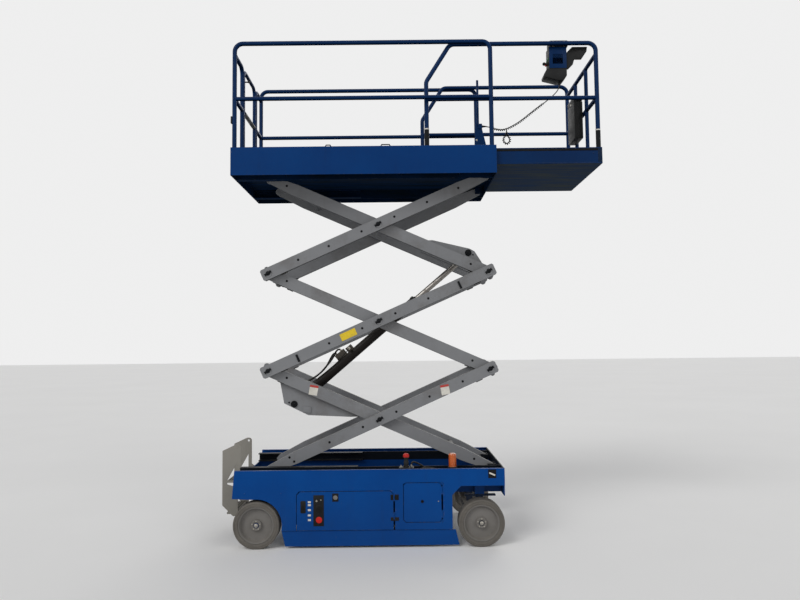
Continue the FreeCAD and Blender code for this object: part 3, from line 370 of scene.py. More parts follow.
@dataclass(frozen=True)
class Lens:
    """Clear coloured plastic of a lamp, a little cloudy, with dust on top."""

    name: str = "amber_lens"
    colour: str = "DE6A10"

    def make(self) -> bpy.types.Material:
        """Build the material."""
        nodes = Nodes(self.name)
        cloud = nodes.curve(nodes.noise(25.0, 5.0), 0.35, 0.7)
        colour = nodes.blend(cloud, linear(self.colour), linear("C9560B"))
        dust = nodes.combine("MULTIPLY", nodes.facing_up(), 0.4)
        colour = nodes.blend(dust, colour, linear("B09070"))
        nodes.feed(Base_Color=colour, Roughness=nodes.curve(nodes.noise(40.0), 0.3, 0.7, 0.12, 0.3))
        nodes.set(Transmission_Weight=0.25, IOR=1.49, Coat_Weight=0.4)
        return nodes.material


@dataclass(frozen=True)
class PlatePrint:
    """A blank sign plate of one colour, with grime and fine scratches."""

    name: str
    colour: str
    grime: str = "6B6252"

    def make(self) -> bpy.types.Material:
        """Build the material."""
        nodes = Nodes(self.name)
        cloud = nodes.curve(nodes.noise(22.0, 6.0), 0.4, 0.8, 0.0, 0.4)
        colour = nodes.blend(cloud, linear(self.colour), linear(self.grime))
        scratches = nodes.noise(1.0, 6.0, 0.7, nodes.stretched((220.0, 220.0, 30.0)))
        colour = nodes.blend(nodes.curve(scratches, 0.62, 0.68, 0.0, 0.6), colour, linear(self.grime))
        gloss = nodes.curve(nodes.noise(50.0), 0.3, 0.7, 0.28, 0.45)
        nodes.feed(Base_Color=colour, Roughness=gloss, Normal=nodes.relief(scratches, 0.05, 0.0004))
        return nodes.material


# Where a paint sets a strength for it, its downward faces take painted shade in grimy streaks.
BLUE = Paint("blue_paint", "003E82", "00468D", dirt="24262A", dust=0.35, wear=0.6, low_dirt=0.3).make()
NAVY = Paint("dark_blue_paint", "0B1B30", "10253F", roughness=0.48, dust=0.5, shade_and_grime=0.6).make()
# Frame paint: above the ledge its parts turn near-black, painted shade inside the well.
FRAME = Paint("frame_paint", "06356F", "083C7A", dirt="14171B", roughness=0.46, dust=0.12, low_dirt=0.95, shade_and_grime=0.6,
              above="0C1118", well_shade_from=0.549).make()
# A darker blue, painted shade for undersides; not used.
UNDERSIDE_SHADE_BLUE = Paint("underside_shade_paint", "12304A", "183A54", roughness=0.5, low_dirt=0.2, shade_and_grime=0.5).make()
GREY = Paint("arm_paint", "7A7B7D", "848587", bare="4E4841", roughness=0.45, wear=0.55, shade_and_grime=0.55,
             dirt="544B42", stains=0.4).make()
LADDER_GREY = Paint("ladder_paint", "8A867F", "939088", bare="4E4841", roughness=0.52).make()
RIM = Paint("rim_paint", "777572", "827F7C", bare="4A443D", roughness=0.55, low_dirt=0.7).make()
# Deck paint: its downward faces and all faces in the box below the deck floor take painted shade.
DECK_BLUE = Paint("deck_paint", "002F66", "00366F", dirt="1A1E24", wear=0.4, under="0D1518", shade_and_grime=0.95,
                  shaded=((-1.5065, -0.5815, 3.0), (0.7405, 0.5815, 3.189))).make()
# Slide paint: the blue paint made darker, painted shade for the slide-out deck's sides.
SLIDE_BLUE_SHADED = Paint("slide_paint_shaded", "00234C", "002955", dirt="1A1E24", wear=0.4, under="343A3C", shade_and_grime=0.97,
                   thin=0.45).make()
# Rail paint: the blue paint made darker, painted shade for the rails; it also dresses posts, welds and the control
# box's side plates.
RAIL_BLUE_SHADED = Paint("rail_paint_shaded", "00224A", "002954", dirt="1A1E24", dust=0.25, wear=0.1, under="040913", shade_and_grime=0.9).make()
BARREL = Paint("barrel_paint", "1D1A18", "282422", dirt="3A342E", bare="4A4540", roughness=0.4, dust=0.3).make()
BLACK_STEEL = Paint("black_steel_paint", "0C0E11", "14171A", bare="302D2A", roughness=0.42, dust=0.25,
                    wear=0.4).make()
TYRE = TyreRubber().make()
CHROME = Metal("ground_chrome", "8E8A85", "5A5048", roughness=0.34, stained=0.8).make()
ZINC = Metal("plated_steel", "A8A49B", roughness=0.34).make()
GREASED = Metal("greased_steel", "4A4641", "2A241C", roughness=0.45, stained=0.8).make()
BRASS = Metal("dull_brass", "9C7A3C", roughness=0.4).make()
BLACK = Moulded("black_plastic", "0B0C0D", "1B1C1B", roughness=0.45, dust=0.2, scuffs=0.3).make()
HOSE = Moulded("hose_rubber", "161615", "2A2723", roughness=0.66, feel=Feel.LEATHERY).make()
CORD = Moulded("cord_jacket", "0A0A0B", "191817", roughness=0.42, dust=0.1, scuffs=0.2).make()
HOLE = Moulded("hole_dark", "08080A", "141414", roughness=0.85, dust=0.1).make()
RED = Moulded("red_plastic", "C4231C", "8A2A22", roughness=0.36).make()
GREEN = Moulded("green_plastic", "1E6A3C", "2C5A40", roughness=0.4).make()
AMBER = Lens().make()
WHITE_PLATE = PlatePrint("white_plate", "DAD6CC").make()
RED_BAND = PlatePrint("red_band", "B8302A").make()
YELLOW_PLATE = PlatePrint("yellow_plate", "E2C21E").make()
SILVER_PLATE = PlatePrint("silver_plate", "B7B7B2").make()


class Shape:
    """A mesh put together with bmesh operators, which ends as one object at the origin."""

    def __init__(self) -> None:
        """Start an empty mesh."""
        self.mesh = bmesh.new()

    def soften(self, verts: Sequence[bmesh.types.BMVert], edge: float, segments: int = 2) -> None:
        """Round the sharp edges between the vertices.

        Args:
            verts: The vertices whose edges count.
            edge: The width of the rounding, or 0 for none.
            segments: How many faces run across it.
        """
        if edge <= 0:
            return
        chosen = set(verts)
        sharp = [e for e in self.mesh.edges if e.verts[0] in chosen and e.verts[1] in chosen
                 and len(e.link_faces) == 2 and e.calc_face_angle(0.0) > math.radians(35)]
        bmesh.ops.bevel(self.mesh, geom=sharp, offset=edge, offset_type="OFFSET", segments=segments,
                        profile=0.5, affect="EDGES", material=-1, clamp_overlap=True)

    def block(self, low: Triple, high: Triple, edge: float = 0.0, segments: int = 2,
              turn: Optional[Matrix] = None) -> "Shape":
        """Add a box between two corners, turned about its middle if turn is given."""
        low, high = Vector(low), Vector(high)
        size = high - low
        matrix = Matrix.Translation((low + high) / 2) @ (turn or Matrix()).to_4x4() @ Matrix.Diagonal((*size, 1))
        made = bmesh.ops.create_cube(self.mesh, size=1.0, matrix=matrix)
        self.soften(made["verts"], edge, segments)
        return self

    def rod(self, start: Triple, end: Triple, radius: float, tip: Optional[float] = None, steps: int = 32,
            edge: float = 0.0) -> "Shape":
        """Add a round bar from start to end, or a cone that ends at radius tip."""
        start, end = Vector(start), Vector(end)
        axis = end - start
        matrix = Matrix.Translation((start + end) / 2) @ axis.to_track_quat("Z", "Y").to_matrix().to_4x4()
        made = bmesh.ops.create_cone(self.mesh, cap_ends=True, segments=steps, radius1=radius,
                                     radius2=radius if tip is None else tip, depth=axis.length, matrix=matrix)
        self.soften(made["verts"], edge)
        return self

    def ball(self, centre: Triple, radius: float, squash: Triple = (1, 1, 1)) -> "Shape":
        """Add a ball, squashed along the axes."""
        matrix = Matrix.Translation(centre) @ Matrix.Diagonal((*squash, 1))
        bmesh.ops.create_uvsphere(self.mesh, u_segments=24, v_segments=12, radius=radius, matrix=matrix)
        return self

    def turned(self, profile: Sequence[tuple[float, float]], centre: Triple, axis: Triple,
               steps: int = 64) -> "Shape":
        """Spin a closed profile about an axis.

        Args:
            profile: The profile's corners as radius and distance along the axis.
            centre: Where the distance is 0.
            axis: The axis it spins about.
            steps: How many steps a full turn has.

        Returns:
            This shape.
        """
        axis = Vector(axis).normalized()
        side = axis.orthogonal().normalized()
        centre = Vector(centre)
        verts = [self.mesh.verts.new(centre + side * radius + axis * along) for radius, along in profile]
        edges = [self.mesh.edges.new((a, b)) for a, b in zip(verts, verts[1:] + verts[:1])]
        bmesh.ops.spin(self.mesh, geom=verts + edges, cent=centre, axis=axis, dvec=(0, 0, 0),
                       angle=2 * math.pi, steps=steps, use_merge=True)
        return self

    def plate(self, outline: Sequence[tuple[float, float]], centre: Triple, across: Triple, up: Triple,
              thickness: float, edge: float = 0.0) -> "Shape":
        """Add a plate with a polygon outline.

        Args:
            outline: Its corners, counted along across and up.
            centre: Where the outline's 0, 0 is, on the plate's middle plane.
            across: The outline's first direction.
            up: Its second direction.
            thickness: The plate's thickness.
            edge: The width of its rounded edges.

        Returns:
            This shape.
        """
        centre, across, up = Vector(centre), Vector(across).normalized(), Vector(up).normalized()
        through = across.cross(up).normalized() * thickness
        verts = [self.mesh.verts.new(centre + across * u + up * v - through / 2) for u, v in outline]
        face = self.mesh.faces.new(verts)
        made = bmesh.ops.extrude_face_region(self.mesh, geom=[face])
        lifted = [item for item in made["geom"] if isinstance(item, bmesh.types.BMVert)]
        bmesh.ops.translate(self.mesh, verts=lifted, vec=through)
        self.soften(verts + lifted, edge)
        return self

    def bolt(self, place: Triple, out: Triple, size: float) -> "Shape":
        """Add a hexagon bolt head with its washer, size being the bolt's diameter."""
        place, out = Vector(place), Vector(out).normalized()
        self.rod(place - out * size * 0.1, place + out * size * 0.18, size * 1.15, steps=24, edge=size * 0.05)
        self.rod(place + out * size * 0.18, place + out * size * 0.78, size * 0.9, steps=6, edge=size * 0.07)
        return self

    def screw(self, place: Triple, out: Triple, size: float) -> "Shape":
        """Add a low round screw head."""
        place, out = Vector(place), Vector(out).normalized()
        self.rod(place - out * size * 0.1, place + out * size * 0.45, size, tip=size * 0.6, steps=16,
                 edge=size * 0.08)
        return self

    def weld(self, start: Triple, end: Triple, radius: float) -> "Shape":
        """Add a weld bead from start to end as a row of flattened lumps."""
        start, end = Vector(start), Vector(end)
        count = max(2, int((end - start).length / (radius * 1.3)))
        for number in range(count + 1):
            spot = start.lerp(end, number / count)
            matrix = Matrix.Translation(spot)
            bmesh.ops.create_icosphere(self.mesh, subdivisions=1, radius=radius, matrix=matrix)
        return self

    def done(self, name: str, body: str, finish: bpy.types.Material, slot: str,
             smooth: float = 32.0) -> bpy.types.Object:
        """End the mesh as an object that rides on a body.

        Args:
            name: The object's name.
            body: The CAD body that it rides on.
            finish: Its material.
            slot: The record's material slot that it belongs to; not used.
            smooth: Edges sharper than so many degrees stay sharp.

        Returns:
            The object.
        """
        bmesh.ops.remove_doubles(self.mesh, verts=self.mesh.verts, dist=1e-6)
        bmesh.ops.recalc_face_normals(self.mesh, faces=self.mesh.faces)
        for face in self.mesh.faces:
            face.smooth = True
        data = bpy.data.meshes.new(name)
        self.mesh.to_mesh(data)
        self.mesh.free()
        data.set_sharp_from_angle(angle=math.radians(smooth))
        data.materials.append(finish)
        piece = bpy.data.objects.new(name, data)
        bpy.context.scene.collection.objects.link(piece)
        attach(piece, body)
        LOG.info("%s: %d faces on %s", name, len(data.polygons), body)
        return piece


def hose(name: str, points: Sequence[Triple], radius: float, body: str,
         finish: bpy.types.Material) -> bpy.types.Object:
    """Lay a fixed hose or cable along a smooth line.

    Args:
        name: The object's name.
        points: The control points of its line.
        radius: Its outside radius.
        body: The CAD body that it rides on.
        finish: Its material.

    Returns:
        The curve object.
    """
    data = bpy.data.curves.new(name, "CURVE")
    data.dimensions = "3D"
    data.bevel_depth = radius
    data.bevel_resolution = 3
    data.use_fill_caps = True
    spline = data.splines.new("NURBS")
    spline.points.add(len(points) - 1)
    for point, place in zip(spline.points, points):
        point.co = (*place, 1.0)
    spline.order_u = 3
    spline.use_endpoint_u = True
    spline.resolution_u = 6
    data.materials.append(finish)
    piece = bpy.data.objects.new(name, data)
    bpy.context.scene.collection.objects.link(piece)
    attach(piece, body)
    LOG.info("%s: hose on %s", name, body)
    return piece


def dress(node: str, finish: bpy.types.Material) -> None:
    """Give a CAD node's mesh its finish."""
    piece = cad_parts[node]
    piece.data.materials.clear()
    piece.data.materials.append(finish)


SIDES = (("right", -1), ("left", 1))
OUT_RIGHT = Vector((0, -1, 0))


@dataclass
class Wheels:
    """Solid tyres on dished rims, with the bolts of the hub."""

    tread: float = 0.1905
    bead: float = 0.150
    width: float = 0.127
    shoulder: float = 0.010
    hub: float = 0.044
    studs: int = 5

    def tyre(self, end: str, side: str, sign: int) -> None:
        """Turn a tyre with rounded shoulders, side ribs and shallow grooves."""
        low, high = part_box(f"tyre_{end}_{side}")
        centre = Vector(((low[0] + high[0]) / 2, high[1] if sign > 0 else low[1], (low[2] + high[2]) / 2))
        r, s, w = self.tread, self.shoulder, self.width
        profile = [(self.bead, 0.003), (self.bead + 0.006, 0.0), (r - 0.022, 0.0), (r - 0.020, 0.0022),
                   (r - 0.016, 0.0022), (r - 0.014, 0.0), (r - s, 0.0005), (r - 0.4 * s, 0.003),
                   (r - 0.1 * s, 0.006), (r, s), (r, w - s), (r - 0.1 * s, w - 0.006),
                   (r - 0.4 * s, w - 0.003), (r - s, w - 0.0005), (self.bead + 0.006, w), (self.bead, w - 0.003)]
        shape = Shape().turned(profile, centre, (0, -sign, 0), steps=96)
        piece = shape.done(f"tyre_skin_{end}_{side}", f"{end}_wheel_{side}", TYRE, "tyre", smooth=40)
        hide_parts(f"tyre_{end}_{side}")

    def rim(self, end: str, side: str, sign: int) -> None:
        """Turn the dished rim and set the hub, its nut and its bolts."""
        low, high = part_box(f"wheel_{end}_{side}")
        centre = Vector(((low[0] + high[0]) / 2, high[1] if sign > 0 else low[1], (low[2] + high[2]) / 2))
        b, h, w = self.bead, self.hub, self.width - 0.010
        profile = [(0.0205, 0.012), (0.026, 0.009), (h - 0.006, 0.006), (h, 0.009), (h + 0.003, 0.030),
                   (b - 0.040, 0.038), (b - 0.026, 0.034), (b - 0.017, 0.020), (b - 0.014, 0.006),
                   (b - 0.009, 0.0012), (b - 0.004, 0.0), (b - 0.0005, 0.002), (b - 0.0005, w),
                   (b - 0.012, w), (b - 0.014, w - 0.02), (b - 0.02, 0.056), (h + 0.01, 0.050),
                   (h + 0.004, w), (0.0205, w)]
        rim = Shape().turned(profile, centre, (0, -sign, 0), steps=80)
        piece = rim.done(f"rim_{end}_{side}", f"{end}_wheel_{side}", RIM, "wheel_paint", smooth=38)
        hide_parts(f"wheel_{end}_{side}")
        out = Vector((0, sign, 0))
        face = centre - out * 0.008
        bolts = Shape()
        for number in range(self.studs):
            angle = 2 * math.pi * number / self.studs + 0.3
            spot = face + Vector((math.cos(angle), 0, math.sin(angle))) * 0.0335
            bolts.rod(spot - out * 0.002, spot + out * 0.006, 0.0062, steps=6, edge=0.0008)
        bolts.rod(centre - out * 0.012, centre - out * 0.001, 0.0175, steps=6, edge=0.0015)
        bolts.rod(centre - out * 0.006, centre + out * 0.0035, 0.009, steps=20, edge=0.001)
        bolts.rod(centre + Vector((-0.013, 0, 0)) - out * 0.002, centre + Vector((0.013, 0, 0)) - out * 0.002,
                  0.0018, steps=10)
        bolts.done(f"hub_fasteners_{end}_{side}", f"{end}_wheel_{side}", ZINC, "wheel_paint")

    def build(self) -> None:
        """Build the four wheels."""
        for end in ("rear", "front"):
            for side, sign in SIDES:
                self.tyre(end, side, sign)
                self.rim(end, side, sign)


@dataclass
class ArmLine:
    """The axis of one arm of the stack as the machine stands."""

    level: int
    outer: bool
    length: float = 2.107
    slope: float = math.radians(23.78)
    front: float = 1.0527
    base: float = 0.5925

    @property
    def body(self) -> str:
        """The body that the arm rides on."""
        return f"{'outer' if self.outer else 'inner'}_arms_{self.level}"

    @property
    def along(self) -> Vector:
        """The direction from the arm's front pin to its rear pin."""
        rise = -math.sin(self.slope) if self.outer else math.sin(self.slope)
        return Vector((-math.cos(self.slope), 0, rise))

    @property
    def up(self) -> Vector:
        """The direction across the arm, away from the floor."""
        return Vector((self.along.z, 0, math.cos(self.slope)))

    def point(self, along: float, across: float = 0.0, y: float = 0.0) -> Vector:
        """Return a place on the arm, so far from its front pin and above its axis."""
        storey = self.length * math.sin(self.slope)
        height = self.base + storey * (self.level if self.outer else self.level - 1)
        return at(self.front, y, height) + self.along * along + self.up * across


@dataclass
class Stack:
    """The scissor arms' finish, plugs, pins, bushes, sign plates, pads and bumpers."""

    half: float = 0.340
    inner_face: float = 0.280
    inner_inside: float = 0.230
    length: float = 2.107
    depth: float = 0.102
    plug: float = 0.0105
    steps: tuple[float, ...] = (-0.473, -0.158, 0.158, 0.473)

    def plugs(self, line: ArmLine) -> None:
        """Set the dark plugs along both outside faces of an outer arm pair."""
        spots = [(self.length / 2 + step, 0.0) for step in self.steps]
        if line.level == 1:
            spots += [(self.length / 2 - 0.788, 0.0), (self.length / 2 + 0.816, -0.024),
                      (self.length / 2 + 0.838, 0.024)]
        if line.level == 3:
            spots += [(self.length / 2 - 0.776, 0.0), (self.length / 2 + 0.766, 0.0)]
        shape = Shape()
        for sign in (-1, 1):
            for along, across in spots:
                spot = line.point(along, across, sign * self.half)
                shape.turned([(0, -0.002), (self.plug, -0.002), (self.plug, 0.0006), (self.plug * 0.8, 0.0012),
                              (self.plug * 0.62, 0.0002), (0, 0.0002)], spot, (0, sign, 0), steps=24)
        shape.done(f"arm_plugs_outer_{line.level}", line.body, HOLE, "grey_paint")

    def inner_plugs(self, line: ArmLine) -> None:
        """Set the plugs near the ends of an inner arm pair."""
        shape = Shape()
        for sign in (-1, 1):
            for along in (0.165, 1.94):
                spot = line.point(along, 0.004, sign * self.inner_face)
                shape.turned([(0, -0.002), (self.plug, -0.002), (self.plug, 0.0006), (self.plug * 0.8, 0.0012),
                              (self.plug * 0.62, 0.0002), (0, 0.0002)], spot, (0, sign, 0), steps=24)
        shape.done(f"arm_plugs_inner_{line.level}", line.body, HOLE, "grey_paint")

    def pin_head(self, shape: Shape, rings: Shape, line: ArmLine, along: float, y: float, sign: int) -> None:
        """Add a pin's retaining plate, bolt and greasy ring at an arm's outside face."""
        spot = line.point(along, 0.0, sign * y)
        rings.turned([(0.0165, -0.001), (0.035, -0.001), (0.035, 0.0014), (0.033, 0.003), (0.022, 0.003),
                      (0.0205, 0.0012), (0.0165, 0.0012)], spot, (0, sign, 0), steps=40)
        out = Vector((0, sign, 0))
        shape.rod(spot + out * 0.001, spot + out * 0.0065, 0.0185, steps=32, edge=0.001)
        tail = (line.along * 0.52 - line.up * 0.855).normalized()
        across = tail.cross(out)
        shape.plate([(-0.033, -0.012), (-0.010, -0.008), (0.010, -0.008), (0.033, -0.012), (0.033, 0.012),
                     (0.010, 0.008), (-0.010, 0.008), (-0.033, 0.012)], spot + out * 0.0082, tail, across, 0.0034, 0.0006)
        for shift in (-0.022, 0.022):
            shape.bolt(spot + out * 0.0098 + tail * shift, out, 0.0075)
        shape.rod(spot + out * 0.0098, spot + out * 0.0118, 0.006, steps=20, edge=0.0006)

    def pins(self) -> None:
        """Dress every pin of the stack where its arm carries it."""
        carried = {(1, False): (2.107, 1.0535), (2, False): (0.0, 2.107, 1.0535), (3, False): (0.0, 1.0535)}
        for (level, outer), stations in carried.items():
            line = ArmLine(level, outer)
            heads, rings = Shape(), Shape()
            for along in stations:
                for sign in (-1, 1):
                    self.pin_head(heads, rings, line, along, self.half, sign)
            heads.done(f"pin_retainers_{level}", line.body, BLACK_STEEL, "grey_paint")
            rings.done(f"pin_rings_{level}", line.body, GREY, "grey_paint")

    def bosses(self, line: ArmLine) -> None:
        """Weld a boss round the pin holes on an inner arm pair's inside faces, apart from the lowest pair's front end;
        outer pairs get none.
        """
        shape = Shape()
        inside = (self.half - 0.050) if line.outer else self.inner_inside
        for along in (0.0, self.length / 2, self.length):
            for sign in (-1, 1):
                spot = line.point(along, 0.0, sign * inside)
                if not line.outer and not (line.level == 1 and along == 0.0):
                    shape.turned([(0.017, -0.004), (0.036, -0.004), (0.036, 0.0), (0.032, 0.0035), (0.017, 0.0035)],
                                 spot, (0, -sign, 0), steps=32)
        if shape.mesh.verts:
            shape.done(f"arm_bosses_inner_{line.level}", line.body, GREY, "grey_paint")

    def end_pads(self, line: ArmLine) -> None:
        """Add the bumper pads at the square ends of an arm pair."""
        face = self.half - 0.025 if line.outer else self.inner_face - 0.025
        pads, bolts = Shape(), Shape()
        ends = {(1, True): (-1,), (2, True): (-1, 1), (3, True): (1,),
                (1, False): (1,), (2, False): (-1, 1), (3, False): (-1,)}[(line.level, line.outer)]
        for end in ends:
            along = self.length / 2 + end * (self.length / 2 - 0.130)
            across = (-1 if (end > 0) == line.outer else -1) * self.depth / 2
            for sign in (-1, 1):
                centre = line.point(along, across, sign * face)
                turn = Matrix((line.along, Vector((0, 1, 0)), line.up)).transposed()
                half = Vector((0.030, 0.018, 0.007))
                pads.block(centre - half, centre + half, 0.003, turn=turn)
                for shift in (-0.018, 0.018):
                    spot = line.point(along + shift, across - 0.007, sign * face)
                    bolts.screw(spot, -line.up, 0.004)
        pads.done(f"arm_pads_{line.body}", line.body, HOSE, "grey_paint")
        bolts.done(f"arm_pad_screws_{line.body}", line.body, ZINC, "grey_paint")

    def clamps(self) -> None:
        """Set the dark blocks across the middle outer arms, near both ends."""
        line = ArmLine(2, True)
        shape = Shape()
        for along in (self.length / 2 - 0.772, self.length / 2 + 0.772):
            for sign in (-1, 1):
                centre = line.point(along, -0.006, sign * (self.half + 0.004))
                turn = Matrix((line.along, Vector((0, 1, 0)), line.up)).transposed()
                half = Vector((0.009, 0.005, 0.034))
                shape.block(centre - half, centre + half, 0.002, turn=turn)
                for shift in (-0.022, 0.022):
                    shape.screw(centre + line.up * shift + Vector((0, sign * 0.005, 0)), (0, sign, 0), 0.0045)
        shape.done("arm_clamps", line.body, BLACK_STEEL, "black_steel")

    def sign_plates(self) -> None:
        """Stick the blank sign plates on the right-hand and left-hand arms."""
        def plate(name: str, line: ArmLine, along: float, face: float, wide: float, high: float,
                  finish: bpy.types.Material, shift: float = 0.0, upright: bool = True) -> None:
            shape = Shape()
            for sign in (-1, 1):
                up = (Vector((0, 0, 1)) * 1.4 + line.up).normalized() if upright else line.up
                across = up.cross(Vector((0, sign, 0))).normalized()
                centre = line.point(along, 0.0, sign * (face + 0.0006)) + up * shift
                shape.plate([(-wide / 2, -high / 2), (wide / 2, -high / 2), (wide / 2, high / 2),
                             (-wide / 2, high / 2)], centre, across, up, 0.0010)
            shape.done(name, line.body, finish, "grey_paint")
        low, first, second = ArmLine(1, True), ArmLine(1, False), ArmLine(2, True)
        plate("arm_plate_white_outer", low, 0.433, self.half, 0.074, 0.066, WHITE_PLATE, -0.012)
        plate("arm_plate_band_outer", low, 0.433, self.half, 0.074, 0.019, RED_BAND, 0.031)
        plate("arm_plate_white_inner", first, 1.683, self.inner_face, 0.074, 0.066, WHITE_PLATE, -0.012)
        plate("arm_plate_band_inner", first, 1.683, self.inner_face, 0.074, 0.019, RED_BAND, 0.031)
        plate("arm_plate_yellow", second, self.length / 2 + 0.290, self.half, 0.144, 0.062, YELLOW_PLATE,
              0.0, False)

    def build(self) -> None:
        """Dress all six arm pairs."""
        for level in (1, 2, 3):
            for outer in (False, True):
                line = ArmLine(level, outer)
                dress(line.body, GREY)
                self.end_pads(line)
                self.bosses(line)
            self.plugs(ArmLine(level, True))
            self.inner_plugs(ArmLine(level, False))
        self.pins()
        self.clamps()
        self.sign_plates()


@dataclass
class Cylinder:
    """The lift cylinder's finish, gland, ports, valve block and hoses."""

    low: Vector = field(default_factory=lambda: Vector((-1.02611, 0, 1.14660)))
    high: Vector = field(default_factory=lambda: Vector((0.52564, 0, 2.46882)))
    radius: float = 0.042
    length: float = 1.4

    def build(self) -> None:
        """Dress the barrel and the rod."""
        dress("lift_cylinder_barrel", BARREL)
        dress("lift_cylinder_rod", CHROME)
        way = (self.high - self.low).normalized()
        up = Vector((0, 1, 0)).cross(way) * -1
        side = Vector((0, -1, 0))
        r = self.radius

        def spot(along: float, across: float = 0.0, y: float = 0.0) -> Vector:
            return self.low + way * along + up * across + side * y

        gland = Shape()
        gland.turned([(0.0255, -0.012), (r + 0.001, -0.012), (r + 0.005, -0.008), (r + 0.005, 0.018),
                      (r + 0.001, 0.022), (0.034, 0.024), (0.030, 0.034), (0.0255, 0.034)],
                     spot(self.length), way, steps=48)
        for along in (0.075, self.length - 0.09):
            gland.turned([(r - 0.001, -0.012), (r + 0.004, -0.012), (r + 0.004, 0.012), (r - 0.001, 0.012)],
                         spot(along), way, steps=48)
        gland.done("cylinder_gland", "cylinder_barrel", BLACK_STEEL, "black_steel")
        block = Shape()
        turn = Matrix((way, Vector((0, 1, 0)), up)).transposed()
        for along, half in ((0.575, (0.052, 0.030, 0.030)), (0.672, (0.032, 0.026, 0.024)),
                            (0.12, (0.028, 0.024, 0.020))):
            centre = spot(along, r + half[2] - 0.006)
            block.block(centre - Vector(half), centre + Vector(half), 0.003, turn=turn)
        block.done("cylinder_valve_block", "cylinder_barrel", GREASED, "black_steel")
        fittings = Shape()
        for along, y in ((0.545, -0.014), (0.600, 0.014)):
            fittings.rod(spot(along, r + 0.046, y), spot(along, r + 0.062, y), 0.010, steps=6, edge=0.001)
            fittings.rod(spot(along, r + 0.060, y), spot(along, r + 0.072, y), 0.0075, steps=20)
        for y in (-0.012, 0.012):
            fittings.rod(spot(0.12, r + 0.030, y), spot(0.12, r + 0.044, y), 0.0095, steps=6, edge=0.001)
        fittings.rod(spot(0.672, r + 0.020, 0.024), spot(0.672, r + 0.020, 0.046), 0.011, steps=6, edge=0.001)
        fittings.rod(spot(0.672, r + 0.020, 0.044), spot(0.672, r + 0.020, 0.078), 0.014, steps=28, edge=0.002)
        fittings.done("cylinder_fittings", "cylinder_barrel", ZINC, "chrome")
        hose("cylinder_hose_long", [spot(0.545, r + 0.068, -0.014), spot(0.535, r + 0.082, -0.014),
                                    spot(0.480, r + 0.064, -0.015), spot(0.400, r + 0.030, -0.016),
                                    spot(0.300, r + 0.022, -0.014), spot(0.200, r + 0.040, -0.013),
                                    spot(0.135, r + 0.062, -0.012), spot(0.120, r + 0.040, -0.012)], 0.0085,
             "cylinder_barrel", HOSE)
        hose("cylinder_hose_short", [spot(0.600, r + 0.068, 0.014), spot(0.585, r + 0.090, 0.014),
                                     spot(0.500, r + 0.050, 0.014), spot(0.410, r + 0.034, 0.006),
                                     spot(0.310, r + 0.020, 0.008), spot(0.210, r + 0.034, 0.012),
                                     spot(0.140, r + 0.060, 0.012), spot(0.120, r + 0.040, 0.012)], 0.0085,
             "cylinder_barrel", HOSE)
        hose("cylinder_wire", [spot(0.672, r + 0.020, 0.078), spot(0.640, r + 0.010, 0.070),
                               spot(0.520, r - 0.006, 0.044), spot(0.380, r - 0.004, 0.030),
                               spot(0.240, r + 0.004, 0.020), spot(0.120, r + 0.010, 0.022)], 0.0035,
             "cylinder_barrel", HOSE)
        straps = Shape()
        for along in (0.30, 0.20):
            straps.turned([(r, -0.005), (r + 0.002, -0.005), (r + 0.002, 0.005), (r, 0.005)], spot(along), way)
        straps.done("cylinder_straps", "cylinder_barrel", BLACK, "black_plastic")
        eye = Shape()
        eye.turned([(0.0335, -0.030), (0.036, -0.028), (0.036, -0.020), (0.0335, -0.018)], self.high, (0, 1, 0))
        eye.turned([(0.0335, 0.018), (0.036, 0.020), (0.036, 0.028), (0.0335, 0.030)], self.high, (0, 1, 0))
        eye.turned([(0.0252, -0.07), (0.030, -0.066), (0.030, -0.030), (0.0252, -0.030)], self.high, way)
        eye.done("rod_eye_rings", "cylinder_rod", GREASED, "black_steel")
        pin = Shape()
        line = ArmLine(3, False)
        for sign in (-1, 1):
            centre = Vector((self.high.x, sign * 0.2302, self.high.z))
            pin.turned([(0, -0.001), (0.030, -0.001), (0.030, 0.004), (0.027, 0.006), (0, 0.006)], centre,
                       (0, -sign, 0), steps=36)
            centre = Vector((self.high.x, sign * (0.2310), self.high.z))
            pin.turned([(0.0, 0.0), (0.026, 0.0), (0.026, 0.008), (0.022, 0.011), (0.0, 0.011)], centre,
                       (0, sign, 0), steps=36)
            pin.bolt(centre + Vector((0, sign * 0.011, 0)), (0, sign, 0), 0.009)
            pin.bolt(centre + Vector((0, sign * 0.0, 0)) + line.along * -0.045, (0, sign, 0), 0.006)
        pin.done("upper_pin_plates", "inner_arms_3", BLACK_STEEL, "grey_paint")
        pin = Shape()
        for sign in (-1, 1):
            centre = Vector((self.low.x, sign * 0.2302, self.low.z))
            pin.turned([(0, 0.0), (0.030, 0.0), (0.030, 0.007), (0.026, 0.010), (0, 0.010)], centre,
                       (0, sign, 0), steps=36)
            pin.bolt(centre + Vector((0, sign * 0.010, 0)), (0, sign, 0), 0.009)
            pin.bolt(centre + Vector((-0.045, 0, 0.014)), (0, sign, 0), 0.007)
        pin.done("lower_pin_plates", "inner_arms_1", BLACK_STEEL, "grey_paint")
        tabs = Shape()
        for sign in (-1, 1):
            centre = Vector((self.low.x + 0.112, sign * 0.2330, self.low.z - 0.050))
            tabs.block(centre - Vector((0.038, 0.004, 0.026)), centre + Vector((0.038, 0.004, 0.026)), 0.0015,
                       turn=Matrix.Rotation(math.radians(9), 3, "Y"))
        tabs.done("lug_tabs", "inner_arms_1", GREY, "grey_paint")


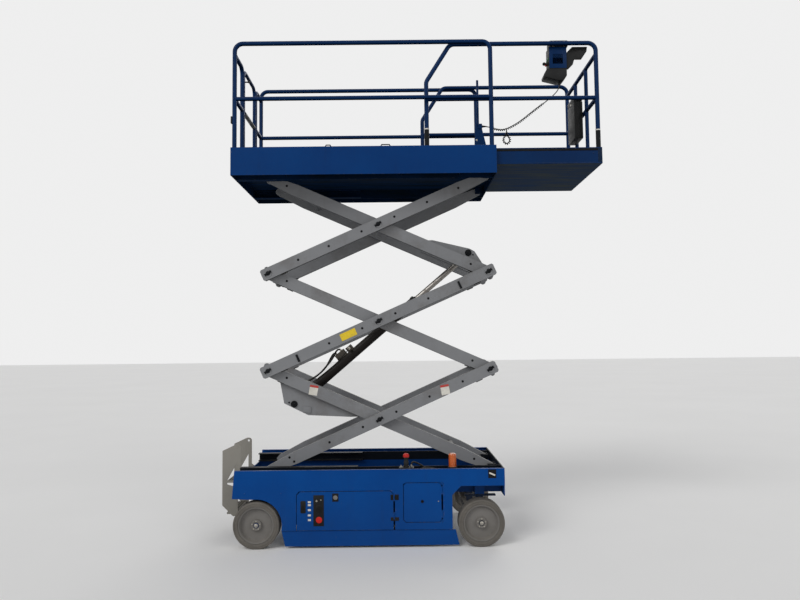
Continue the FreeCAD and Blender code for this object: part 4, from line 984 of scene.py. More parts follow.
@dataclass
class Chassis:
    """The body's fittings: panels, trays, doors, controls, ladder, beacon, valve and guards."""

    panel_y: float = 0.5795
    door_y: float = 0.579
    ledge: float = 0.543
    front_pin: float = 1.0527
    pin_height: float = 0.5925

    def finishes(self) -> None:
        """Give the body's CAD nodes their finishes."""
        dress("chassis_frame", FRAME)
        dress("ladder", LADDER_GREY)
        dress("tie_rod", BLACK_STEEL)
        for side, _ in SIDES:
            for node in ("side_panel", "module_tray", "hatch", "pothole_guard"):
                dress(f"{node}_{side}", BLUE)
            dress(f"power_block_{side}", BLACK)
            dress(f"steering_yoke_{side}", NAVY)
        dress("ground_controls", BLACK)

    def controls(self) -> None:
        """Replace the plain control plate by one with a key switch, a toggle and a stop button."""
        y = -0.5805
        plate = Shape()
        plate.plate([(-0.043, -0.125), (0.043, -0.125), (0.043, 0.125), (-0.043, 0.125)],
                    at(-0.411, y + 0.0005, 0.307), (1, 0, 0), (0, 0, 1), 0.0022, 0.0008)
        for x in (-0.446, -0.376):
            for z in (0.190, 0.424):
                plate.screw(at(x, y, z), OUT_RIGHT, 0.0035)
        piece = plate.done("ground_plate", "tray_right", BLACK, "black_plastic")
        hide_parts("ground_controls")
        key = Shape()
        key.turned([(0, 0), (0.0300, 0), (0.0300, 0.0020), (0.0275, 0.0032), (0.0125, 0.0034), (0.0118, 0.0022),
                    (0, 0.0022)], at(-0.407, y, 0.320), OUT_RIGHT, steps=40)
        key.block(at(-0.4100, y - 0.0041, 0.3085), at(-0.4040, y - 0.001, 0.3315), 0.001)
        key.done("ground_key_switch", "tray_right", BLACK_STEEL, "black_plastic")
        toggle = Shape()
        toggle.rod(at(-0.428, y + 0.001, 0.384), at(-0.428, y - 0.0022, 0.384), 0.0085, steps=6, edge=0.0008)
        toggle.rod(at(-0.428, y - 0.0010, 0.379), at(-0.428, y - 0.0016, 0.396), 0.0022, 0.0026, steps=16)
        toggle.rod(at(-0.392, y + 0.001, 0.392), at(-0.392, y - 0.0018, 0.392), 0.005, steps=20, edge=0.0008)
        toggle.done("ground_toggle", "tray_right", ZINC, "chrome")
        stop = Shape()
        stop.turned([(0, -0.001), (0.0255, -0.001), (0.0262, 0.0012), (0.0245, 0.0030), (0.018, 0.0040),
                     (0.008, 0.0043), (0, 0.0043)], at(-0.408, y, 0.232), OUT_RIGHT, steps=48)
        stop.done("ground_stop_button", "tray_right", RED, "black_plastic")

    def tray_fittings(self) -> None:
        """Set the recessed pulls, latches and hinges of both trays."""
        for side, sign in SIDES:
            out = Vector((0, sign, 0))
            y = sign * self.panel_y
            pull = Shape()
            pull.plate([(-0.0215, -0.044), (-0.014, -0.050), (0.014, -0.050), (0.0215, -0.044),
                        (0.0215, 0.044), (0.014, 0.050), (-0.014, 0.050), (-0.0215, 0.044)],
                       at(-0.5385, y, 0.3365), (1, 0, 0), (0, 0, 1), 0.0032, 0.0012)
            pull.done(f"tray_pull_{side}", f"tray_{side}", BLACK, "black_plastic")
            lip = Shape()
            lip.turned([(0.004, 0.0), (0.0065, 0.0), (0.0065, 0.0016), (0.004, 0.0016)],
                       at(-0.5385, y + sign * 0.0012, 0.3365), out, steps=24)
            lip.block(at(-0.552, y - sign * 0.002, 0.318), at(-0.525, y + sign * 0.0028, 0.324), 0.001)
            lip.done(f"tray_pull_lip_{side}", f"tray_{side}", HOLE, "black_plastic")
            latch = Shape()
            latch.plate([(-0.0255, -0.033), (0.0255, -0.033), (0.0255, 0.033), (-0.0255, 0.033)],
                        at(-0.2735, y, 0.411), (1, 0, 0), (0, 0, 1), 0.003, 0.0012)
            latch.done(f"tray_latch_plate_{side}", f"tray_{side}", BLACK_STEEL, "black_steel")
            paddle = Shape()
            paddle.turned([(0, 0), (0.0185, 0), (0.0180, 0.0014), (0.0150, 0.0018), (0.0140, 0.0010), (0.0085, 0.0010),
                           (0.0075, 0.0022), (0, 0.0022)], at(-0.2735, y + sign * 0.0012, 0.411), out, steps=36)
            paddle.done(f"tray_latch_{side}", f"tray_{side}", RIM, "black_steel")
            hinge = Shape()
            for z, half in ((0.408, 0.022), (0.233, 0.014)):
                hinge.plate([(-0.016, -half), (0.016, -half), (0.016, half), (-0.016, half)],
                            at(0.196, y, z), (1, 0, 0), (0, 0, 1), 0.0034, 0.001)
                for x in (0.187, 0.203):
                    for shift in (-half * 0.55, half * 0.55):
                        hinge.screw(at(x, y + sign * 0.0016, z + shift), out, 0.0032)
            hinge.done(f"tray_hinge_leaves_{side}", f"tray_{side}", BLACK_STEEL, "black_steel")
            leaf = Shape()
            for z, half in ((0.408, 0.022), (0.233, 0.014)):
                leaf.plate([(-0.0275, -half), (0.004, -half), (0.004, half), (-0.0275, half)],
                           at(0.243, y, z), (1, 0, 0), (0, 0, 1), 0.0034, 0.001)
                for x in (0.222, 0.239):
                    for shift in (-half * 0.55, half * 0.55):
                        leaf.screw(at(x, y + sign * 0.0016, z + shift), out, 0.0032)
            leaf.done(f"body_hinge_leaves_{side}", "chassis", BLACK_STEEL, "black_steel")

    def hinge_strips(self) -> None:
        """Close the panels' openings in front of the door hinges down to a narrow gap."""
        room, reach, gap = 0.021, 0.0135, 0.005
        for side, sign in SIDES:
            strips = Shape()
            middle = at(0, sign * 0.5773, 0)
            front, top, low = 0.202, 0.458, 0.150
            strips.plate([(front + reach, low), (front + room, low), (front + room, top - 0.019), (front - 0.003, top + gap),
                          (front - 0.024, top + gap), (front + reach, top - 0.0325)], middle, (1, 0, 0), (0, 0, 1), 0.004)
            front, top, low = 0.597, 0.521, 0.207
            strips.plate([(front - 0.016, low - gap), (front, low - gap), (front + room, low + 0.016),
                          (front + room, top - 0.016), (front, top + gap), (front - 0.016, top + gap),
                          (front + reach, top - 0.0245), (front + reach, low + 0.0245)], middle, (1, 0, 0), (0, 0, 1),
                         0.004)
            strips.done(f"panel_strips_{side}", "chassis", BLUE, "blue_paint")

    def marks(self) -> None:
        """Stick the blank tabs beside the control plate and the square plate at the front."""
        tabs = Shape()
        for number, z in enumerate((0.376, 0.352, 0.312, 0.270, 0.232)):
            tabs.block(at(-0.499, -self.panel_y - 0.0006, z - 0.0075), at(-0.475, -self.panel_y + 0.001, z + 0.0075),
                       0.0003)
        tabs.done("control_tabs", "tray_right", WHITE_PLATE, "blue_paint")
        corner = Shape()
        for sign in (-1, 1):
            corner.plate([(-0.033, -0.035), (0.033, -0.035), (0.033, 0.035), (-0.033, 0.035)],
                         at(1.018, sign * (self.panel_y + 0.0004), 0.590), (1, 0, 0), (0, 0, 1), 0.0010)
        corner.done("tie_down_plate", "chassis", HOLE, "blue_paint")
        bar = Shape()
        for sign in (-1, 1):
            tilt = Vector((1, 0, -0.42))
            bar.plate([(-0.026, -0.006), (0.026, -0.006), (0.026, 0.006), (-0.026, 0.006)],
                      at(1.018, sign * (self.panel_y + 0.0012), 0.588), tilt, Vector((0, 0, 1)).cross((0, 1, 0)) +
                      Vector((0.42, 0, 1)) - Vector((0, 0, 1)).cross((0, 1, 0)), 0.0008)
        bar.done("tie_down_bar", "chassis", WHITE_PLATE, "blue_paint")

    def hatch_fittings(self) -> None:
        """Set the lock and the rivet of both small doors."""
        for side, sign in SIDES:
            out = Vector((0, sign, 0))
            y = sign * self.panel_y
            lock = Shape()
            lock.turned([(0, -0.001), (0.0125, -0.001), (0.0125, 0.0016), (0.011, 0.0028), (0.0075, 0.0028),
                         (0.0070, 0.0008), (0, 0.0008)], at(0.440, y, 0.372), out, steps=32)
            lock.block(at(0.4385, y, 0.3665), at(0.4415, y + sign * 0.0014, 0.3775), 0)
            lock.done(f"hatch_lock_{side}", f"hatch_{side}", HOLE, "black_steel")
            dot = Shape()
            dot.turned([(0, -0.001), (0.0052, -0.001), (0.0046, 0.0018), (0, 0.0022)],
                       at(0.573, y, 0.372), out, steps=24)
            dot.done(f"hatch_rivet_{side}", f"hatch_{side}", ZINC, "chrome")

    def panel_edges(self) -> None:
        """Run the folded top edge along both side panels and set their screws."""
        for side, sign in SIDES:
            edge = Shape()
            y = sign * self.panel_y
            edge.block(at(-1.100, y - sign * 0.030, 0.6295), at(1.116, y - sign * 0.004, 0.6328), 0.0012)
            edge.done(f"panel_top_fold_{side}", "chassis", BLUE, "blue_paint")
            plugs = Shape()
            for x in (-1.02, -0.72):
                plugs.screw(at(x, y, 0.448), (0, sign, 0), 0.006)
            plugs.done(f"panel_screws_{side}", "chassis", BLUE, "blue_paint")

    def well(self) -> None:
        """Lay hoses, cables and the base pins' retainers in the well and on the ledges."""
        for sign in (-1, 1):
            side = "right" if sign < 0 else "left"
            pins = Shape()
            spot = at(self.front_pin, sign * 0.352, self.pin_height)
            out = Vector((0, sign, 0))
            pins.rod(at(self.front_pin, sign * 0.281, self.pin_height), at(self.front_pin, sign * 0.286, self.pin_height),
                     0.026, steps=32, edge=0.0012)
            pins.bolt(at(self.front_pin, sign * 0.286, self.pin_height), out, 0.008)
            pins.done(f"base_pin_retainers_{side}", "chassis", GREASED, "dark_steel")
        hose("ledge_hose_right", [at(0.385, -0.470, 0.600), at(0.42, -0.470, 0.602), at(0.47, -0.47, 0.628),
                                  at(0.55, -0.455, 0.612), at(0.66, -0.425, 0.572), at(0.80, -0.420, 0.560),
                                  at(0.98, -0.420, 0.558), at(1.10, -0.422, 0.558)], 0.010, "chassis", HOSE)
        hose("ledge_cable_right", [at(0.246, -0.455, 0.590), at(0.21, -0.455, 0.590), at(0.17, -0.45, 0.575),
                                   at(0.08, -0.435, 0.553), at(-0.30, -0.430, 0.551), at(-0.80, -0.428, 0.551),
                                   at(-1.08, -0.43, 0.551)], 0.0065, "chassis", HOSE)
        hose("valve_hose_low", [at(0.355, -0.442, 0.634), at(0.355, -0.442, 0.655), at(0.372, -0.435, 0.672),
                                at(0.42, -0.428, 0.652), at(0.50, -0.42, 0.600), at(0.60, -0.415, 0.562),
                                at(0.72, -0.414, 0.554), at(0.90, -0.414, 0.553)], 0.0075, "chassis", HOSE)
        clips = Shape()
        for x in (-0.9, -0.5, -0.1):
            clips.block(at(x - 0.008, -0.442, self.ledge - 0.001), at(x + 0.008, -0.418, self.ledge + 0.0175), 0.003)
        for x in (0.84, 1.04):
            clips.block(at(x - 0.009, -0.436, self.ledge - 0.001), at(x + 0.009, -0.406, self.ledge + 0.028), 0.003)
        clips.done("ledge_clips", "chassis", BLACK, "black_plastic")
        head = Shape()
        for y in (-0.12, 0.12):
            head.bolt(at(-1.104, y, 0.47), (-1, 0, 0), 0.010)
        head.done("ladder_bolts", "chassis", ZINC, "dark_steel")

    def valve(self) -> None:
        """Replace the lowering valve's plain block by its body, knob and fittings."""
        x, y, z = 0.312, -0.460, self.ledge
        body = Shape()
        body.block(at(0.252, -0.498, z), at(0.378, -0.422, z + 0.088), 0.004)
        body.turned([(0, 0.0), (0.026, 0.0), (0.026, 0.010), (0.021, 0.014), (0.021, 0.045), (0.018, 0.050),
                     (0.018, 0.078), (0, 0.078)], at(x, y, z + 0.087), (0, 0, 1), steps=36)
        piece = body.done("valve_body", "chassis", BLACK, "black_plastic")
        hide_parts("lowering_valve")
        metal = Shape()
        for spot, size in ((at(0.355, -0.442, z + 0.087), 0.010), (at(0.268, -0.480, z + 0.087), 0.007)):
            metal.rod(spot, spot + Vector((0, 0, 0.010)), size * 1.1, steps=6, edge=0.001)
            metal.rod(spot + Vector((0, 0, 0.009)), spot + Vector((0, 0, 0.020)), size * 0.85, steps=20)
        metal.rod(at(0.377, -0.470, 0.600), at(0.392, -0.470, 0.600), 0.0125, steps=6, edge=0.001)
        metal.rod(at(0.240, -0.455, 0.590), at(0.253, -0.455, 0.590), 0.0095, steps=6, edge=0.001)
        for px in (0.260, 0.370):
            for py in (-0.490, -0.430):
                metal.screw(at(px, py, z + 0.088), (0, 0, 1), 0.0045)
        metal.done("valve_fittings", "chassis", ZINC, "chrome")
        knob = Shape()
        knob.turned([(0, 0.0), (0.020, 0.0), (0.024, 0.004), (0.0235, 0.022), (0.019, 0.031), (0.010, 0.0355),
                     (0, 0.036)], at(x, y, z + 0.168), (0, 0, 1), steps=40)
        for number in range(12):
            angle = number * math.pi / 6
            spot = at(x + math.cos(angle) * 0.0235, y + math.sin(angle) * 0.0235, z + 0.172)
            knob.rod(spot, spot + Vector((0, 0, 0.018)), 0.0022, steps=8)
        knob.done("valve_knob", "chassis", RED, "black_plastic")

    def lamp(self) -> None:
        """Replace the beacon's plain solid by a ribbed base and a fluted lens."""
        x, y, z = 0.699, -0.490, self.ledge
        base = Shape()
        base.turned([(0, 0.0), (0.030, 0.0), (0.030, 0.052), (0.0375, 0.056), (0.0375, 0.070), (0.0345, 0.074),
                     (0.0375, 0.078), (0.0375, 0.090), (0.034, 0.0945), (0, 0.0945)], at(x, y, z), (0, 0, 1))
        piece = base.done("beacon_base", "chassis", BLACK, "black_plastic")
        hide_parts("beacon")
        lens = Shape()
        profile = [(0, 0.0), (0.0325, 0.0)]
        for number in range(9):
            height = 0.006 + number * 0.010
            profile += [(0.0312, height), (0.0325, height + 0.005)]
        profile += [(0.0315, 0.098), (0.027, 0.107), (0.016, 0.1115), (0, 0.112)]
        lens.turned(profile, at(x, y, z + 0.0945), (0, 0, 1), steps=48)
        lens.done("beacon_lens", "chassis", AMBER, "amber_plastic")

    def ladder_fittings(self) -> None:
        """Add grip strips and weld beads on the ladder."""
        grips = Shape()
        for z in (0.214, 0.350, 0.486):
            for x in (-1.239, -1.218, -1.197):
                grips.block(at(x - 0.004, -0.205, z - 0.001), at(x + 0.004, 0.205, z + 0.0025), 0.001)
        grips.done("ladder_grips", "chassis", BLACK_STEEL, "dark_steel")
        beads = Shape()
        for sign in (-1, 1):
            for z in (0.200, 0.336, 0.472):
                beads.weld(at(-1.250, sign * 0.2115, z), at(-1.182, sign * 0.2115, z), 0.0022)
        beads.done("ladder_welds", "chassis", LADDER_GREY, "dark_steel")

    def guards(self) -> None:
        """Run the bead along the pothole guards' lower edge."""
        for side, sign in SIDES:
            bead = Shape()
            y = sign * 0.5655
            bead.rod(at(-0.680, y, 0.0225), at(0.720, y, 0.0225), 0.0042, steps=12)
            bead.done(f"guard_bead_{side}", f"guard_{side}", BLUE, "blue_paint")

    def undercarriage(self) -> None:
        """Add the steering gear's bolts and the rear drive caps."""
        nuts = Shape()
        for sign in (-1, 1):
            nuts.bolt(at(0.805, sign * 0.432, 0.2795), (0, 0, 1), 0.010)
        nuts.done("tie_rod_nuts", "tie_rod", ZINC, "dark_steel")
        for side, sign in SIDES:
            cap = Shape()
            cap.turned([(0, 0.0), (0.026, 0.0), (0.026, 0.006), (0.020, 0.009), (0, 0.009)],
                       at(0.925, sign * 0.432, 0.4735), (0, 0, 1), steps=32)
            cap.done(f"kingpin_cap_{side}", f"yoke_{side}", GREASED, "dark_steel")

    def build(self) -> None:
        """Dress the whole body."""
        self.finishes()
        self.controls()
        self.tray_fittings()
        self.marks()
        self.hatch_fittings()
        self.hinge_strips()
        self.panel_edges()
        self.well()
        self.valve()
        self.lamp()
        self.ladder_fittings()
        self.guards()
        self.undercarriage()


@dataclass
class Platform:
    """The platform's skirts, rails, gate, slide-out deck and what hangs on them."""

    deck: float = 3.18729
    skirt_low: float = 3.1025
    skirt_high: float = 3.3413
    half: float = 0.585
    rear: float = 1.149
    front: float = 1.107
    rail_y: float = 0.558
    slide_y: float = 0.5057
    top: float = 4.254
    middle: float = 3.769

    def finishes(self) -> None:
        """Give the platform's CAD nodes their finishes."""
        dress("platform_deck", DECK_BLUE)
        dress("extension_deck", SLIDE_BLUE_SHADED)
        for node in ("guardrail_right", "guardrail_left", "rear_rail_right", "rear_rail_left", "gate",
                     "extension_rail_right", "extension_rail_left", "extension_rail_front", "deck_handle"):
            dress(node, RAIL_BLUE_SHADED)
        dress("document_box", BLACK)
        dress("control_box", BLACK)

    def skirts(self) -> None:
        """Run the folded lips along the skirts."""
        lips = Shape()
        for sign in (-1, 1):
            y = sign * (self.half - 0.0045)
            lips.rod(at(-self.rear + 0.004, y, self.skirt_high - 0.002), at(self.front - 0.004, y, self.skirt_high - 0.002),
                     0.0042, steps=12)
            lips.rod(at(-self.rear + 0.004, y, self.skirt_low + 0.0045), at(self.front - 0.004, y, self.skirt_low + 0.0045),
                     0.0042, steps=12)
        lips.done("skirt_lips", "platform", DECK_BLUE, "blue_paint")

    def underside(self) -> None:
        """Hang the cable under the deck."""
        hose("platform_cable", [at(-1.10, 0.412, 3.135), at(-0.8, 0.418, 3.128), at(-0.4, 0.414, 3.134),
                                at(0.1, 0.418, 3.126), at(0.6, 0.414, 3.134), at(1.02, 0.418, 3.130)], 0.007,
             "platform", HOSE)

    def slide_lips(self) -> None:
        """Fold lips along the slide-out deck's sides and front, with a dark strip of painted shadow beneath the top
        lips.
        """
        lips, lip_shadow, ends = Shape(), Shape(), Shape()
        low, high, nose = 3.1885, 3.3275, 2.0195
        for sign in (-1, 1):
            near, far = sorted((sign * 0.5295, sign * 0.5325))
            lips.block(at(0.520, near, high - 0.009), at(nose, far, high), 0.001)
            # A dark strip beneath each top lip, painted shadow.
            outer = sign * 0.5312
            lip_shadow.block(at(0.522, min(near, outer), high - 0.028), at(nose - 0.037, min(far, max(near, outer)),
                                                                       high - 0.010), 0.0004)
            lips.block(at(0.520, near, low), at(nose, far, low + 0.010), 0.001)
            ends.block(at(nose - 0.036, near, low + 0.008), at(nose, far, high - 0.010), 0.001)
            lips.bolt(at(nose - 0.075, sign * 0.5295, 3.275), (0, sign, 0), 0.005)
        lips.rod(at(nose - 0.0028, -0.520, high - 0.003), at(nose - 0.0028, 0.520, high - 0.003), 0.003, steps=12)
        lips.done("slide_lips", "extension", SLIDE_BLUE_SHADED, "blue_paint")
        lip_shadow.done("slide_lip_shadow", "extension", HOLE, "black_steel")
        ends.done("slide_end_uprights", "extension", NAVY, "blue_paint")

    def anchors(self) -> None:
        """Weld the lanyard loops that stand a little above both long skirts."""
        loops = Shape()
        rod = 0.0045
        for sign in (-1, 1):
            for x, half in ((-0.322, 0.016), (0.166, 0.032)):
                y = sign * 0.5735
                corners = [at(x - half - 0.012, y, 3.318), at(x - half - 0.012, y, 3.338), at(x - half, y, 3.356),
                           at(x + half, y, 3.356), at(x + half + 0.012, y, 3.338), at(x + half + 0.012, y, 3.318)]
                for start, end in zip(corners, corners[1:]):
                    loops.rod(start, end, rod, steps=12)
                for corner in corners[1:-1]:
                    loops.ball(corner, rod)
        loops.done("anchor_loops", "platform", BLACK_STEEL, "black_steel")

    def posts(self) -> None:
        """Weld a foot with bolts at each post and a bead at each joint of the rails."""
        feet, bolts, beads = Shape(), Shape(), Shape()
        for sign in (-1, 1):
            for x in (-1.1217, 1.072):
                y = sign * (self.rail_y - 0.0205)
                feet.block(at(x - 0.026, y - 0.002, self.deck + 0.030), at(x + 0.026, y + 0.002, self.deck + 0.140), 0.0015)
                for z in (0.052, 0.100):
                    bolts.bolt(at(x, y - sign * 0.002, self.deck + z), (0, -sign, 0), 0.008)
                beads.turned([(0.0185, -0.004), (0.0235, -0.002), (0.0235, 0.001), (0.0185, 0.006)],
                             at(x, sign * self.rail_y, self.middle), (1 if x < 0 else -1, 0, 0), steps=24)
        feet.done("post_feet", "platform", RAIL_BLUE_SHADED, "blue_paint")
        bolts.done("post_bolts", "platform", ZINC, "chrome")
        beads.done("rail_welds", "platform", RAIL_BLUE_SHADED, "blue_paint")
        locks, pins = Shape(), Shape()
        for sign in (-1, 1):
            for x, top in ((0.521, 3.500), (1.9957, 3.479)):
                locks.turned([(0.0192, 0.0), (0.0212, 0.0), (0.0212, 0.010), (0.0192, 0.010)],
                             at(x, sign * self.slide_y, top), (0, 0, 1), steps=32)
                inner = -sign
                start = at(x, sign * self.slide_y + inner * 0.017, top + 0.026)
                pins.rod(start, start + Vector((0, inner * 0.031, 0)), 0.0045, steps=12)
                pins.ball(start + Vector((0, inner * 0.033, 0)), 0.007)
        locks.done("slide_post_rings", "extension", WHITE_PLATE, "chrome")
        pins.done("slide_post_pins", "extension", BLACK_STEEL, "black_steel")
        sleeves = Shape()
        for sign in (-1, 1):
            for x, tall in ((0.521, 0.266), (1.9957, 0.245)):
                sleeves.turned([(0.0191, 0.0), (0.0205, 0.0), (0.0205, tall), (0.0191, tall)],
                               at(x, sign * self.slide_y, self.deck + 0.045), (0, 0, 1), steps=32)
        sleeves.done("slide_post_sleeves", "extension", BLACK_STEEL, "black_steel")

    def gate_fittings(self) -> None:
        """Set the gate's hinges, latch and closing strut at the rear."""
        x = -1.1217
        hinge = Shape()
        for z in (self.deck + 0.430, 4.0114):
            hinge.turned([(0.0092, -0.022), (0.013, -0.020), (0.013, 0.020), (0.0092, 0.022)], at(x, 0.2475, z),
                         (0, 1, 0), steps=24)
        hinge.done("gate_hinge_collars", "gate", BLACK_STEEL, "black_steel")
        latch = Shape()
        latch.block(at(x - 0.0125, -0.252, 4.000), at(x + 0.0125, -0.2495, 4.090), 0.001)
        latch.rod(at(x + 0.008, -0.232, 4.045), at(x + 0.045, -0.232, 4.045), 0.006, steps=16, edge=0.001)
        latch.ball(at(x + 0.050, -0.232, 4.045), 0.011)
        latch.turned([(0.0151, -0.205), (0.0185, -0.200), (0.0185, 0.200), (0.0151, 0.205)], at(x, 0, self.middle),
                     (0, 1, 0), steps=28)
        latch.done("gate_latch", "gate", BLACK, "black_plastic")
        keeper = Shape()
        keeper.block(at(x - 0.0135, -0.2570, 4.015), at(x + 0.0135, -0.2535, 4.075), 0.001)
        keeper.rod(at(x, -0.539, 3.60), at(x, -0.539, 3.66), 0.0062, steps=16)
        keeper.block(at(x - 0.011, -0.556, 3.885), at(x + 0.011, -0.534, 3.945), 0.003)
        keeper.block(at(x - 0.031, -0.571, 3.555), at(x - 0.016, -0.545, 3.617), 0.003)
        keeper.done("gate_keeper", "platform", BLACK, "black_plastic")
        plate = Shape()
        plate.block(at(x - 0.0315, -0.565, 3.572), at(x - 0.0305, -0.551, 3.600), 0)
        plate.done("keeper_tab", "platform", WHITE_PLATE, "black_plastic")

    def build(self) -> None:
        """Dress the platform."""
        self.finishes()
        self.skirts()
        self.underside()
        self.slide_lips()
        self.anchors()
        self.posts()
        self.gate_fittings()


@dataclass
class Controls:
    """The upper control box, the document box and the cord between box and deck."""

    deck: float = 3.18729
    wire: float = 0.0042
    coil: float = 0.0068
    pitch: float = 0.0172
    coil_from: float = 0.26
    coil_to: float = 0.90
    route: tuple[Triple, ...] = (
        (1.692, -0.426, 0.748), (1.692, -0.426, 0.708), (1.670, -0.421, 0.668), (1.620, -0.412, 0.622),
        (1.540, -0.403, 0.560), (1.445, -0.400, 0.488), (1.345, -0.400, 0.408), (1.262, -0.400, 0.360),
        (1.196, -0.400, 0.336), (1.130, -0.400, 0.344), (1.065, -0.400, 0.372), (1.010, -0.400, 0.372))
    loop_route: tuple[Triple, ...] = (
        (1.224, -0.405, 0.336), (1.226, -0.405, 0.296), (1.200, -0.404, 0.272), (1.194, -0.403, 0.236),
        (1.226, -0.400, 0.208), (1.258, -0.397, 0.236), (1.252, -0.396, 0.272), (1.226, -0.395, 0.296),
        (1.228, -0.395, 0.336))

    def line(self, route: Sequence[Triple]) -> list[Vector]:
        """Return close points along the smooth line of a route."""
        data = bpy.data.curves.new("cord_route", "CURVE")
        data.dimensions = "3D"
        spline = data.splines.new("NURBS")
        spline.points.add(len(route) - 1)
        for point, (x, y, z) in zip(spline.points, route):
            point.co = (*at(x, y, self.deck + z), 1.0)
        spline.order_u = 3
        spline.use_endpoint_u = True
        spline.resolution_u = 24
        guide = bpy.data.objects.new("cord_route", data)
        mesh = bpy.data.meshes.new_from_object(guide)
        places = [v.co.copy() for v in mesh.vertices]
        bpy.data.objects.remove(guide)
        bpy.data.curves.remove(data)
        bpy.data.meshes.remove(mesh)
        return places

    def wind(self, route: Sequence[Triple], start: float, end: float) -> tuple[list[Vector], float]:
        """Wind the wire round a route.

        Args:
            route: The corners of the route's smooth line.
            start: The share of the route where the coil starts.
            end: The share where it ends.

        Returns:
            The wire's points and the route's length.
        """
        places = self.line(route)
        runs = [0.0]
        for before, after in zip(places, places[1:]):
            runs.append(runs[-1] + (after - before).length)
        total = runs[-1]
        steps = 12
        count = round(total / self.pitch) * steps
        side = Vector((0, 1, 0))
        helix: list[Vector] = []
        segment = 0
        for number in range(count + 1):
            along = total * number / count
            while segment < len(runs) - 2 and runs[segment + 1] < along:
                segment += 1
            share = (along - runs[segment]) / (runs[segment + 1] - runs[segment])
            centre = places[segment].lerp(places[segment + 1], share)
            ahead = (places[segment + 1] - places[segment]).normalized()
            side = (side - ahead * side.dot(ahead)).normalized()
            other = ahead.cross(side)
            done = along / total
            grown = min((done - start) / 0.03, (end - done) / 0.03)
            radius = self.coil * max(0.0, min(1.0, grown))
            angle = 2 * math.pi * number / steps
            if radius > 0 or number % steps == 0:
                helix.append(centre + (side * math.cos(angle) + other * math.sin(angle)) * radius)
        return helix, total

    def loop(self) -> bpy.types.Object:
        """Hang the spare loop of the coil at the cord's lowest point."""
        helix, total = self.wind(self.loop_route, 0.04, 0.96)
        data = bpy.data.curves.new("cord_loop", "CURVE")
        data.dimensions = "3D"
        data.bevel_depth = self.wire
        data.bevel_resolution = 2
        data.use_fill_caps = True
        spline = data.splines.new("NURBS")
        spline.points.add(len(helix) - 1)
        for point, place in zip(spline.points, helix):
            point.co = (*place, 1.0)
        spline.order_u = 3
        spline.use_endpoint_u = True
        spline.resolution_u = 2
        data.materials.append(CORD)
        piece = bpy.data.objects.new("cord_loop", data)
        bpy.context.scene.collection.objects.link(piece)
        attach(piece, "extension")
        LOG.info("cord_loop: over %.3f m", total)
        return piece

    def cord(self) -> None:
        """Wind the curly cord round its route, with a straight lead at each end."""
        helix, total = self.wind(self.route, self.coil_from, self.coil_to)
        data = bpy.data.curves.new("curly_cord", "CURVE")
        data.dimensions = "3D"
        data.bevel_depth = self.wire
        data.bevel_resolution = 2
        data.use_fill_caps = True
        spline = data.splines.new("NURBS")
        spline.points.add(len(helix) - 1)
        for point, place in zip(spline.points, helix):
            point.co = (*place, 1.0)
        spline.order_u = 3
        spline.use_endpoint_u = True
        spline.resolution_u = 2
        data.materials.append(CORD)
        piece = bpy.data.objects.new("curly_cord", data)
        bpy.context.scene.collection.objects.link(piece)
        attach(piece, "extension")
        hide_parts("control_cord")
        relief = self.reliefs() + [self.loop()]

    def reliefs(self) -> list[bpy.types.Object]:
        """Build the tapered strain reliefs at both ends of the cord."""
        upper = Shape()
        x, y, z = self.route[0]
        start = at(x, y, self.deck + z)
        profile = [(0.0037, 0.0), (0.0105, 0.0), (0.0105, 0.004)]
        for number in range(5):
            depth = 0.006 + number * 0.006
            radius = 0.0095 - number * 0.0009
            profile += [(radius, depth), (radius, depth + 0.003), (radius - 0.0014, depth + 0.004)]
        profile += [(0.0048, 0.040), (0.0037, 0.041)]
        upper.turned(profile, start, (0, 0, -1), steps=28)
        first = upper.done("cord_relief_box", "extension", BLACK, "black_plastic")
        lower = Shape()
        x, y, z = self.route[-1]
        lower.turned(profile, at(x, y, self.deck + z), (1, 0, 0), steps=28)
        second = lower.done("cord_relief_socket", "extension", BLACK, "black_plastic")
        return [first, second]

    def box(self) -> None:
        """Replace the plain control case by its housing, panel, joystick, stop button and hood."""
        left, right = -0.486, -0.366
        corner = at(1.549, (left + right) / 2, self.deck + 0.748)
        wide, tall = Vector((1, 0, 0)), Vector((0, 0, 1))

        def spot(along: float, y: float, up: float) -> Vector:
            return Vector((corner.x + along, y, corner.z + up))

        case = Shape()
        case.plate([(0.000, 0.031), (0.118, 0.0), (0.166, 0.0), (0.199, 0.042), (0.200, 0.104), (0.024, 0.104),
                    (0.000, 0.052)], corner, wide, tall, right - left, 0.006)
        case.block(spot(0.045, left + 0.003, 0.102), spot(0.200, right - 0.003, 0.300), 0.003)
        case.block(spot(0.054, left, 0.300), spot(0.213, right, 0.357), 0.008)
        for number in range(4):
            up = 0.312 + number * 0.011
            case.block(spot(0.070, left - 0.0003, up), spot(0.198, left + 0.002, up + 0.005), 0.0008)
        piece = case.done("control_housing", "extension", BLACK, "black_plastic")
        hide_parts("control_box")
        cradle = Shape()
        cradle.plate([(0.196, 0.104), (0.218, 0.109), (0.257, 0.149), (0.270, 0.195), (0.333, 0.195), (0.379, 0.262),
                      (0.385, 0.304), (0.253, 0.304), (0.196, 0.246)], corner - Vector((0, 0.030, 0)), wide, tall,
                     0.024, 0.003)
        for along in (0.285, 0.345):
            cradle.turned([(0, 0.0), (0.007, 0.0), (0.007, 0.003), (0, 0.003)], spot(along, -0.4675, 0.275), (0, -1, 0),
                          steps=20)
        piece = cradle.done("control_cradle", "extension", BLACK, "black_plastic")
        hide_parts("control_box")
        panel = Shape()
        for y, sign in ((left + 0.003, -1), (right - 0.003, 1)):
            edge = y + sign * 0.0025
            panel.block(spot(0.047, min(y, edge), 0.108), spot(0.198, max(y, edge), 0.296), 0.0012)
        panel.done("control_side_plates", "extension", RAIL_BLUE_SHADED, "blue_paint")
        inset = Shape()
